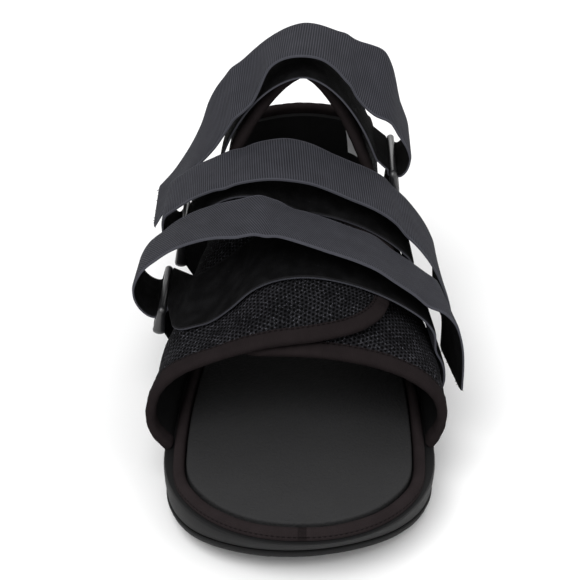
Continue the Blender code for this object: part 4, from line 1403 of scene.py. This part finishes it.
@dataclass
class Upper:
    """Hollow mesh upper with its binding, and the padded lining inside its heel."""

    front_sweep: float = 0.033
    corner: float = 0.009
    binding_width: float = 0.0054
    binding_proud: float = 0.0008
    rows: int = 44
    fine_steps: int = 48
    seam: float = 0.001
    lap_from: float = 0.55
    lap_to: float = 0.60
    crease_slant: float = 1.4
    crease_reach: float = 0.22
    tape_step: float = 0.0016
    pad_thickness: float = 0.0045
    pad_seat: float = 0.0035
    pad_foot: float = 0.07
    pad_drop: float = 0.03
    pad_top: float = 0.5
    creases: tuple[tuple[float, float, float, float, float], ...] = (
        (-1, 0.300, 0.30, 0.0010, 0.020), (-1, 0.345, 0.55, -0.0008, 0.016), (-1, 0.47, 0.22, 0.0012, 0.022),
        (1, 0.470, 0.26, 0.0010, 0.022), (-1, 0.60, 0.30, 0.0012, 0.020), (1, 0.61, 0.28, 0.0012, 0.020),
        (1, 0.280, 0.50, -0.0008, 0.018), (-1, 0.26, 0.85, 0.0008, 0.018), (1, 0.86, 0.33, 0.0008, 0.016),
    )

    def places(self) -> list[float]:
        """Places of the stations along one side.

        Returns:
            The places from the front to the heel tip.
        """
        front = LAST.y_at(FRONT_ALONG)
        fan = [front + self.corner * (1 - math.cos(a)) for a in np.linspace(0, math.pi / 2, 9)]
        shares = (0.275, 0.315, 0.355, 0.395, 0.435, 0.475, 0.510, 0.530, 0.545, 0.560, 0.575, 0.590,
                  0.610, 0.635, 0.655, 0.668, 0.679, 0.688, 0.696, 0.703, 0.710, 0.718, 0.738, 0.758,
                  0.770, 0.780, 0.791, 0.804, 0.820)
        heel = [LAST.heel_y - d for d in LAST.cap_places(LAST.heel_cap, 8)][::-1]
        return fan[:-1] + refined([fan[-1], *(LAST.y_at(share) for share in shares), *heel], 3)

    def curve(self, side: int, y: float, turns: Sequence[float], distance: float = 0.0) -> np.ndarray:
        """Points of one station.

        Args:
            side: -1 left, 1 right.
            y: the station's place along the shoe.
            turns: places across the arch.
            distance: how far outside the outer face.

        Returns:
            The points.
        """
        sweep = LEFT_FRONT if side < 0 else RIGHT_FRONT
        front, end = LAST.y_at(FRONT_ALONG), LAST.y_at(SWEEP_END_ALONG)
        fade = max(0.0, 1 - (y - front) / (end - front))
        start, stop = LAST.y_at(self.lap_from), LAST.y_at(self.lap_to)
        lap = FLAP_LIFT * float(np.clip((stop - y) / (stop - start), 0, 1)) if side < 0 else 0.0
        points = []
        for turn in turns:
            here = y + self.front_sweep * sweep.at("sweep", turn) * fade
            points.append(LAST.off(here, side, turn, distance - self.sunk(side, here, turn), lap))
        return np.array(points)

    def sunk(self, side: int, y: float, turn: float) -> float:
        """How far the wall sinks in its creases.

        Args:
            side: -1 left, 1 right.
            y: place along the shoe.
            turn: place across the arch.

        Returns:
            The depth, below 0 on a ridge.
        """
        depth = 0.0
        for at_side, along, at_turn, deep, wide in self.creases:
            if at_side == side:
                slant = (LAST.along_at(y) - along) / wide + (turn - at_turn) * self.crease_slant
                depth += deep * math.exp(-slant * slant - ((turn - at_turn) / self.crease_reach) ** 2)
        return depth

    def build(self) -> None:
        """Model the wall, its binding and the heel lining."""
        places = self.places()
        sides = both_sides(places)
        front = LAST.y_at(FRONT_ALONG)
        outer, inner, cloth = [], [], []
        shift, before = 0.0, None
        for side, y in sides:
            edge = EDGE.at(side_name(side), LAST.along_at(y))
            fine = np.linspace(0, edge, self.fine_steps)
            run = run_along(self.curve(side, y, fine))
            rest = max(0.0, self.corner - (y - front))
            short = self.corner - math.sqrt(max(self.corner ** 2 - rest ** 2, 0))
            turns = np.interp(np.linspace(0, run[-1] - short - self.seam, self.rows), run, fine)
            outer.append(self.curve(side, y, turns))
            inner.append(self.curve(side, y, turns, -WALL))
            middle = outer[-1][self.rows // 2]
            shift += 0 if before is None else np.linalg.norm(middle - before)
            before = middle
            cloth.append(np.stack([np.full(self.rows, shift), run_along(outer[-1])], axis=1) / MM)
        outer, inner, cloth = np.array(outer), np.array(inner), np.array(cloth)
        loops = np.concatenate([outer, inner[:, ::-1]], axis=1)
        laid = np.concatenate([cloth, cloth[:, ::-1], cloth[:, :1]], axis=1)
        kinds = [0] * (self.rows - 1) + [0] + [1] * (self.rows - 1) + [0]
        shell = Loft(loops, laid, kinds).build("upper_shell", MESH.material(), LINING.material())
        settle(shell, "upper")
        self.build_binding((outer + inner) / 2)
        self.build_pad()

    def build_binding(self, grid: np.ndarray) -> None:
        """Fold the binding over the wall's free edges.

        Args:
            grid: middle surface of the wall, stations by rows.
        """
        count, rows = grid.shape[:2]
        quads = [(i * rows + j, (i + 1) * rows + j, (i + 1) * rows + j + 1, i * rows + j + 1)
                 for i in range(count - 1) for j in range(rows - 1)]
        tree = BVHTree.FromPolygons([tuple(p) for p in grid.reshape(-1, 3)], quads)
        path = np.concatenate([grid[0], grid[1:-1, -1], grid[-1, ::-1]])
        run = run_along(path)
        steps = int(run[-1] / self.tape_step)
        marks = np.linspace(0, run[-1], steps)
        path = np.stack([np.interp(marks, run, path[:, k]) for k in range(3)], axis=1)
        for _ in range(3):
            path[1:-1] = (path[:-2] + path[1:-1] * 2 + path[2:]) / 4
        ahead = unit(np.gradient(path, axis=0))
        facing = np.array([tree.find_nearest(tuple(p))[1] for p in path])
        for _ in range(4):
            facing[1:-1] = facing[:-2] + facing[1:-1] * 2 + facing[2:]
            facing = unit(facing)
        inward = unit(np.cross(ahead, facing))
        if inward[10][1] < 0:
            inward = -inward
        out = facing if (facing[10][0] < 0) else -facing
        half = WALL / 2 + self.binding_proud
        wide = self.binding_width
        profile = [(wide, half - 0.0006), (wide - 0.0004, half - 0.0001), (wide * 0.5, half), (0, half),
                   (-half * 0.55, half * 0.83), (-half * 0.92, half * 0.4)]
        profile += [(deep, -high) for deep, high in profile[::-1]]
        sections = []
        for number, (point, normal, into) in enumerate(zip(path, out, inward)):
            pucker = 1 + 0.05 * math.sin(number * 1.7) + 0.04 * math.sin(number * 0.61)
            section = []
            for deep, high in profile:
                spot, up = point + into * deep, normal
                if deep > 0:
                    found, face = tree.find_nearest(tuple(spot))[:2]
                    spot = np.array(found)
                    up = unit(np.array(face) * (1 if np.dot(face, normal) > 0 else -1) + normal * 0.3)
                section.append(spot + up * high * pucker)
            sections.append(section)
        sections = np.array(sections)
        around = run_along(np.array([(*p, 0) for p in profile + profile[:1]]))
        cloth = np.stack(np.meshgrid(marks / MM, around / MM, indexing="ij"), axis=2)
        settle(Loft(sections, cloth).build("upper_binding", BOUND.material()), "upper")

    def build_pad(self, rows: int = 20) -> None:
        """Model the padded lining inside the heel.

        Args:
            rows: points up the pad.
        """
        places = refined([LAST.y_at(share) for share in (0.815, 0.835)]
                         + [LAST.heel_y - d for d in LAST.cap_places(LAST.heel_cap, 8)][::-1], 3)
        sides = both_sides(places)
        up = np.sin(np.linspace(0, math.pi, rows))
        round_heel = np.sin(np.linspace(0, math.pi, len(sides))) ** 0.5
        loops = []
        for (side, y), middle in zip(sides, round_heel):
            high = min(EDGE.at("left", LAST.along_at(y)) - self.pad_drop, self.pad_top)
            turns = np.linspace(self.pad_foot, high, rows)
            depth = self.pad_thickness * (0.35 + 0.65 * middle) * (0.45 + 0.55 * up)
            outer = [LAST.off(y, side, turn, -self.pad_seat) for turn in turns]
            inner = [LAST.off(y, side, turn, -self.pad_seat - thick) for turn, thick in zip(turns, depth)]
            loops.append(outer + inner[::-1])
        loops = np.array(loops)
        cloth = np.zeros((len(sides), 2 * rows + 1, 2))
        pad = settle(Loft(loops, cloth).build("heel_lining_pad", HEEL_LINING.material()), "heel_pad")


@dataclass
class LabelTag:
    """Small bare tag of white tape on the heel lining, right of the middle."""

    along: float = 0.932
    turn: float = 0.29
    turn_span: float = 0.115
    width: float = 0.012
    thickness: float = 0.0003
    off_wall: float = 0.0077

    def build(self) -> None:
        """Model the tag, lying on the heel lining."""
        span = self.width / LAST.length / 2
        foot, head = self.turn, self.turn + self.turn_span
        sections = []
        for along in np.linspace(self.along - span, self.along + span, 7):
            y = LAST.y_at(along)
            loop = [LAST.off(y, 1, turn, -self.off_wall) for turn in np.linspace(foot, head, 5)]
            back = -self.off_wall - self.thickness
            loop += [LAST.off(y, 1, turn, back) for turn in np.linspace(head, foot, 5)]
            sections.append(loop)
        tag = Loft(np.array(sections), np.zeros((7, 11, 2))).build("label_tag", TAPE.material())
        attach(tag, "root")
        tall = float(np.linalg.norm(sections[3][4] - sections[3][0]))
        wide = float(np.linalg.norm(sections[6][2] - sections[0][2]))
        LOG.info("label_tag: %.1f by %.1f mm", wide / MM, tall / MM)


@dataclass(frozen=True)
class RingPlan:
    """Where a ring stands and how it leans, in the last's shares."""

    side: Side
    across: float
    along: float
    height: float
    tilt: float
    lean: float


@dataclass(frozen=True)
class StrapPlan:
    """How a strap runs: its lower layer, a bridge in the air, its upper layer and its creases."""

    under: Table
    outer: Table
    anchor: Side
    last: float
    arch: tuple[float, float]
    bridge: Optional[Table] = None
    over_flap: bool = True
    play: float = 0.0
    slant: float = 0.06
    creases: tuple[tuple[float, float, float, float], ...] = ()


RINGS = {
    "front": RingPlan(Side.LEFT, -0.944, 0.491, 0.283, -0.015, 0.16),
    "mid": RingPlan(Side.LEFT, -0.858, 0.649, 0.350, 0.0, 0.05),
    "ankle": RingPlan(Side.RIGHT, 0.644, 0.734, 0.568, 0.0, 0.05),
}
# creases: share of the strap's run, slant, depth in metres and half width as a share of the run
STRAPS = {
    "front": StrapPlan(
        UNDER_FRONT, OUTER_FRONT, Side.RIGHT, 1.55, (0.20, 0.60), slant=0.45,
        creases=((0.715, 0.012, 0.0011, 0.010), (0.70, -0.008, -0.0006, 0.008), (0.90, 0.010, 0.0008, 0.012)),
    ),
    "mid": StrapPlan(
        UNDER_MID, OUTER_MID, Side.RIGHT, 1.00, (0.20, 0.60), BRIDGE_MID,
        creases=((0.62, 0.010, 0.0008, 0.010), (0.84, -0.010, 0.0008, 0.012)),
    ),
    "ankle": StrapPlan(
        UNDER_ANKLE, OUTER_ANKLE, Side.LEFT, 1.50, (0.715, 0.765), over_flap=False, play=0.0012,
        creases=((0.63, 0.008, 0.0008, 0.008), (0.80, -0.006, 0.0007, 0.010)),
    ),
}


@dataclass
class Fastening:
    """One strap with its ring and the tab that holds the ring."""

    name: str
    width: float = 0.036
    thickness: float = 0.0016
    tab_width: float = 0.034
    tab_thickness: float = 0.0012
    bar: float = 0.0015
    end: float = 0.0026
    height: float = 0.0150
    side_play: float = 0.0008
    binding_step: float = 0.0006
    first_turn: float = 0.07
    under_steps: int = 20
    lap_start: float = 0.38
    lap_run: float = 0.12
    flare: float = 0.007
    flare_in: float = 0.002
    flare_from: float = 0.93
    flare_run: float = 0.11
    draw_in: float = 0.0055
    draw_down: float = 0.0035
    draw_from: float = 0.2
    draw_to: float = 0.98
    draw_fade: float = 0.25
    draw_low_left: float = 0.45
    draw_low_right: float = 0.66
    draw_rise: float = 0.28
    threads: int = 22
    thread_half: float = 0.00016
    thread_root: float = 0.0006
    thread_drop: float = 0.0026
    thread_curl: float = 0.0009
    thread_turns: tuple[float, float, float] = (2.4, 5.1, 3.3)
    ring_flat: float = 0.2
    ring_bend: float = 0.9
    shoulder: float = 1.15
    top_end: float = 1.25
    low_end: float = 1.1

    @property
    def ring(self) -> RingPlan:
        """The plan of this strap's ring."""
        return RINGS[self.name]

    def across(self, width: float) -> np.ndarray:
        """Offsets of a strap's points from its middle line."""
        return np.array([-0.5, 0.0, 0.5]) * width

    def slope_of(self, tilt: float) -> float:
        """Rise for each metre across the strap, from a tilt in the tables' shares."""
        return tilt * LAST.wrap_height / self.width

    def under_layer(self) -> list[np.ndarray]:
        """Lay the lower layer on the upper, from its anchored side.

        Returns:
            The cross sections.
        """
        plan = STRAPS[self.name]
        offset = self.binding_step + DRAPE_GAP + self.thickness / 2 + plan.play
        sections = []
        for turn in np.linspace(self.first_turn, plan.last, self.under_steps):
            share = np.clip((turn - self.lap_start) / self.lap_run, 0, 1)
            lift = FLAP_LIFT * share * share * (3 - 2 * share)
            spots = LAST.y_at(plan.under.at("along", turn)) + self.across(self.width)
            laid = (-1, 2 - turn, offset, lift) if plan.over_flap else (plan.anchor, turn, offset, 0.0)
            sections.append(np.array([LAST.off(y, *laid, plan.arch) for y in spots]))
        return sections

    def bar_centre(self, low: bool = False) -> np.ndarray:
        """Centre of a bar of the ring.

        Args:
            low: whether it is the lower bar.

        Returns:
            The centre.
        """
        ring = self.ring
        y = LAST.y_at(ring.along)
        centre = np.array([ring.across * LAST.reach, y, LAST.height_at(y, ring.height)])
        if low:
            centre += np.array([ring.side * ring.lean, 0, -1]) * (self.height - 2 * self.bar)
        return centre

    def round_bar(self, low: bool, angles: Sequence[float], thickness: float,
                  width: float) -> list[np.ndarray]:
        """Cross sections of webbing that turns round a bar.

        Args:
            low: whether it is the lower bar.
            angles: angles in degrees from the shoe side, down and outwards.
            thickness: the webbing's thickness.
            width: the webbing's width.

        Returns:
            The cross sections.
        """
        centre = self.bar_centre(low)
        radius = self.bar + GAP + thickness / 2
        tilt = self.slope_of(self.ring.tilt)
        sections = []
        for angle in np.radians(angles):
            turn = np.array([-self.ring.side * math.cos(angle), 0, -math.sin(angle)]) * radius
            spots = [centre + turn + (0, shift, tilt * shift) for shift in self.across(width)]
            sections.append(np.array(spots))
        return sections

    def turned(self, row: dict[str, float]) -> float:
        """How far the free end of a strap from the right is turned.

        Args:
            row: one row of the strap's table.

        Returns:
            The share, from 0 to 1.
        """
        if STRAPS[self.name].anchor == Side.LEFT:
            return 0.0
        return float(np.clip((row["across"] - self.flare_from) / self.flare_run, 0, 1))

    def drawn(self, row: dict[str, float]) -> float:
        """How far the toe-side edge of a strap from the left is drawn in.

        Args:
            row: one row of the strap's table.

        Returns:
            The share, from 0 to 1.
        """
        if STRAPS[self.name].anchor == Side.RIGHT:
            return 0.0
        away, fade = abs(row["across"]), self.draw_fade
        share = np.clip((away - self.draw_from) / fade, 0, 1) * np.clip((self.draw_to - away) / fade, 0, 1)
        low = self.draw_low_left if row["across"] < 0 else self.draw_low_right
        return share * np.clip((row["height"] - low) / self.draw_rise, 0, 1)

    def in_air(self, table: Table) -> list[np.ndarray]:
        """Cross sections of a stretch in the air.

        Args:
            table: places of its middle line and its tilt.

        Returns:
            The cross sections.
        """
        sections = []
        for row in table.rows():
            y = LAST.y_at(row["along"])
            x, z = row["across"] * LAST.reach, LAST.height_at(y, row["height"])
            tilt, turned, drawn = self.slope_of(row["tilt"]), self.turned(row), self.drawn(row)
            section = []
            for shift in self.across(self.width):
                toward_toe = drawn * (0.5 - shift / self.width)
                place = x - turned * (self.flare_in + self.flare * shift / self.width)
                place -= math.copysign(self.draw_in, x) * toward_toe
                section.append((place, y + shift, z + tilt * shift - self.draw_down * toward_toe))
            sections.append(np.array(section))
        return sections

    def ribbon(self, lines: Sequence[np.ndarray], cuts: int, thickness: float, across: int,
               finish: tuple[int, int]) -> Loft:
        """Soft ribbon through its cross sections of three points.

        Args:
            lines: cross sections.
            cuts: parts that each span is cut into.
            thickness: the webbing's thickness.
            across: points across the ribbon.
            finish: numbers of the finishes on its two faces.

        Returns:
            The loft.
        """
        path = smooth_path(lines, cuts)
        t = np.linspace(-1, 1, across)[None, :, None]
        low, middle, high = (path[:, k][:, None] for k in range(3))
        grid = middle + t * (high - low) / 2 + t * t * ((high + low) / 2 - middle)
        run = run_along(path[:, 1])
        wide = float(np.linalg.norm(high[0] - low[0]))
        normal = grid_normals(grid)
        sink = np.zeros((len(grid), across))
        for share, slant, deep, reach in STRAPS[self.name].creases if finish != (0, 0) else ():
            away = (run / run[-1])[:, None] - share - slant * t[0, :, 0][None]
            sink += deep * np.exp(-(away / reach) ** 2)
        grid = grid - normal * sink[:, :, None]
        thin = np.ones(across)
        thin[0] = thin[-1] = 0.5
        offset = normal * (thin * thickness / 2)[None, :, None]
        loops = np.concatenate([grid + offset, (grid - offset)[:, ::-1]], axis=1)
        v = np.linspace(-wide / 2, wide / 2, across)
        flat = np.concatenate([v, v[::-1], v[:1]])
        cloth = np.stack(np.meshgrid(run / MM, flat / MM, indexing="ij"), axis=2)
        kinds = [finish[0]] * (across - 1) + [0] + [finish[1]] * (across - 1) + [0]
        return Loft(loops, cloth, kinds)

    def build_strap(self) -> None:
        """Model the strap: ribbed outside, pile on the lower layer's upper face."""
        plan = STRAPS[self.name]
        laid = self.under_layer()
        if plan.bridge:
            laid += self.in_air(plan.bridge)
        turned = self.round_bar(False, (-15, 30, 75, 120), self.thickness, self.width)
        loose = smooth_path(turned[-1:] + self.in_air(plan.outer), 2)[1:]
        joining = list(smooth_path(laid[-2:] + turned[:2], 4)[5:8])
        lines = laid + joining + turned + list(loose)
        kinds = (0, 1) if plan.anchor > 0 else (1, 0)
        loft = self.ribbon(lines, 4, self.thickness, 13, kinds)
        ribs = replace(RIBBED, name="ribbed_webbing_" + self.name, slant=plan.slant)
        strap = loft.build("strap_" + self.name + "_webbing", ribs.material(), PILE.material())
        self.fray(strap, lines[-2:])
        settle(strap, "strap_" + self.name)

    def fray(self, strap: bpy.types.Object, end: Sequence[np.ndarray]) -> None:
        """Join short loose threads to the strap's cut end.

        Args:
            strap: the finished strap.
            end: its last two cross sections.
        """
        down = unit(end[1][1] - end[0][1])
        side = unit(end[1][2] - end[1][0])
        out = unit(np.cross(down, side))
        swung, dropped, curled = self.thread_turns
        bpy.ops.object.select_all(action="DESELECT")
        for number in range(self.threads):
            share = (number + 0.5) / self.threads
            swing = math.sin(number * swung)
            top = end[1][0] + (end[1][2] - end[1][0]) * share - down * self.thread_root
            drop = self.thread_drop * (0.6 + 0.4 * math.sin(number * dropped))
            sections = []
            for step in np.linspace(0, 1, 4):
                curl = (side * swing + out * math.cos(number * curled)) * self.thread_curl
                middle = top + down * drop * step + curl * step ** 2
                half = self.thread_half * (1 - 0.4 * step)
                sections.append([middle + side * a * half + out * b * half
                                 for a, b in ((-1, -1), (1, -1), (1, 1), (-1, 1))])
            thread = Loft(np.array(sections), np.zeros((4, 5, 2))).build("thread", strap.data.materials[0])
            thread.select_set(True)
        strap.select_set(True)
        bpy.context.view_layer.objects.active = strap
        bpy.ops.object.join()

    def build_tab(self) -> None:
        """Model the tab from the sole up and round the ring's lower bar."""
        ring, low = self.ring, self.bar_centre(low=True)
        offset = 2 * DRAPE_GAP + self.tab_thickness / 2
        rise = (low[2] - LAST.wrap_base(low[1])) / (WRAP.at("belly", ring.along) * LAST.belly_height)
        last = min(LAST.belly_turn * rise * 0.7, LAST.belly_turn * 0.9)
        spots = low[1] + self.across(self.tab_width)
        lines = [np.array([LAST.off(y, ring.side, turn, offset) for y in spots])
                 for turn in np.linspace(0.01, last, 8)]
        lines += self.round_bar(True, (30, -15, -60, -105, -150, -185), self.tab_thickness, self.tab_width)
        loft = self.ribbon(lines, 3, self.tab_thickness, 9, (0, 0))
        tab = settle(loft.build("tab_" + self.name + "_webbing", WEBBING.material()), "tab_" + self.name)

    def build_ring(self) -> None:
        """Model the moulded loop from a torus pulled apart, with thicker flat ends."""
        ring, top, low = self.ring, self.bar_centre(), self.bar_centre(low=True)
        depth = float(np.linalg.norm(low - top))
        down = (low - top) / depth
        along = unit(np.array([0, 1, self.slope_of(ring.tilt)]))
        out = unit(np.cross(along, down))
        corner = self.bar + self.side_play - GAP
        half = self.width / 2 + self.side_play + self.bar
        bpy.ops.object.select_all(action="DESELECT")
        bpy.ops.mesh.primitive_torus_add(major_segments=32, minor_segments=16, major_radius=corner,
                                         minor_radius=self.bar)
        piece = bpy.context.object
        piece.name = piece.data.name = "ring_" + self.name + "_loop"
        bpy.ops.object.mode_set(mode="EDIT")
        bpy.ops.mesh.select_all(action="SELECT")
        bpy.ops.transform.rotate(value=math.pi / 32, orient_axis="Z", center_override=(0, 0, 0))
        for axis, reach in ((0, half - corner), (1, depth / 2 - corner)):
            for sign in (1, -1):
                self.pick(piece, lambda co: co[axis] * sign > 0)
                move = [0.0, 0.0, 0.0]
                move[axis] = sign * reach
                bpy.ops.transform.translate(value=move)
        limit = half - corner * self.ring_flat
        for sign in (1, -1):
            self.pick(piece, lambda co: half - corner * self.ring_bend < sign * co[0] <= limit)
            bpy.ops.transform.resize(value=(1, 1, self.shoulder), center_override=(sign * half, 0, 0))
            for lower, wide in ((False, self.top_end), (True, self.end / self.bar * self.low_end)):
                self.pick(piece, lambda co: sign * co[0] > limit and (co[1] > 0) == lower)
                bpy.ops.transform.resize(value=(1, 1, wide), center_override=(sign * half, 0, 0))
        bpy.ops.mesh.select_all(action="SELECT")
        bpy.ops.mesh.subdivide(number_cuts=1, smoothness=0)
        bpy.ops.object.mode_set(mode="OBJECT")
        middle = (top + low) / 2 + np.array(SHIFT)
        place = Matrix((along, down, out)).transposed().to_4x4()
        place.translation = Vector(middle)
        piece.data.transform(place)
        if place.determinant() < 0:
            piece.data.flip_normals()
        piece.data.materials.append(PLASTIC.material())
        bpy.ops.object.shade_smooth_by_angle(angle=math.radians(50))
        settle(piece, "ring_" + self.name)

    def pick(self, piece: bpy.types.Object, wanted: Callable[[Vector], bool]) -> None:
        """Select the vertices of a piece in edit mode that a test names.

        Args:
            piece: the piece.
            wanted: test of a vertex's place.
        """
        shape = bmesh.from_edit_mesh(piece.data)
        for vertex in shape.verts:
            vertex.select = wanted(vertex.co)
        shape.select_mode = {"VERT"}
        shape.select_flush_mode()
        bmesh.update_edit_mesh(piece.data)

    def build(self) -> None:
        """Model the strap, its ring and its tab."""
        self.build_strap()
        self.build_ring()
        self.build_tab()


@dataclass
class Studio:
    """Camera, pale floor and soft lights, each with its name, place, size and watts."""

    azimuth: float = 1.0
    elevation: float = 31.5
    distance: float = 0.735
    target: tuple[float, float, float] = (-0.0054, 0.0, 0.052)
    lens: float = 99.3
    sensor: float = 36.0
    world: float = 0.75
    lights: tuple[tuple[str, tuple[float, float, float], float, float], ...] = (
        ("key_light", (-0.35, -0.6, 1.1), 0.9, 10.0),
        ("fill_light", (0.9, -0.7, 0.8), 0.9, 3.0),
        ("back_light", (0.1, 0.95, 0.75), 0.8, 3.0),
    )

    def camera(self) -> None:
        """Set the camera at the photo's angle."""
        turn, lift = math.radians(self.azimuth), math.radians(self.elevation)
        back = Vector((math.sin(turn) * math.cos(lift), -math.cos(turn) * math.cos(lift), math.sin(lift)))
        data = bpy.data.cameras.new("view_camera")
        data.lens, data.sensor_width = self.lens, self.sensor
        data.clip_start = 0.01
        eye = add_object("view_camera", data)
        eye.location = Vector(self.target) + SHIFT + back * self.distance
        eye.rotation_euler = back.to_track_quat("Z", "Y").to_euler()
        bpy.context.scene.camera = eye

    def light(self, name: str, place: tuple[float, float, float], size: float, power: float) -> None:
        """Add a soft square light that faces the shoe.

        Args:
            name: name of the light.
            place: where it stands.
            size: length of its side.
            power: its power in watts.
        """
        data = bpy.data.lights.new(name, "AREA")
        data.size, data.energy = size, power
        lamp = add_object(name, data)
        lamp.location = place
        lamp.rotation_euler = (Vector(place) - Vector((0, 0, 0.04))).to_track_quat("Z", "Y").to_euler()

    def build(self) -> None:
        """Set the floor, the lights, the world and the camera."""
        bpy.ops.object.select_all(action="DESELECT")
        bpy.ops.mesh.primitive_plane_add(size=8.0, location=(0, 0, -0.0002))
        floor = bpy.context.object
        floor.name = "studio_floor"
        floor.data.materials.append(FLOOR.material())
        for lamp in self.lights:
            self.light(*lamp)
        world = bpy.context.scene.world or bpy.data.worlds.new("studio_world")
        bpy.context.scene.world = world
        world.use_nodes = True
        world.node_tree.nodes["Background"].inputs[0].default_value = (1, 1, 1, 1)
        world.node_tree.nodes["Background"].inputs[1].default_value = self.world
        bpy.context.scene.view_settings.view_transform = "Standard"
        self.camera()


def main() -> None:
    """Build the shoe and the studio."""
    logging.basicConfig(level=logging.INFO)
    Sole().build()
    Footbed().build()
    Upper().build()
    LabelTag().build()
    for name in STRAPS:
        Fastening(name).build()
    Studio().build()


if __name__ == "__main__":
    main()
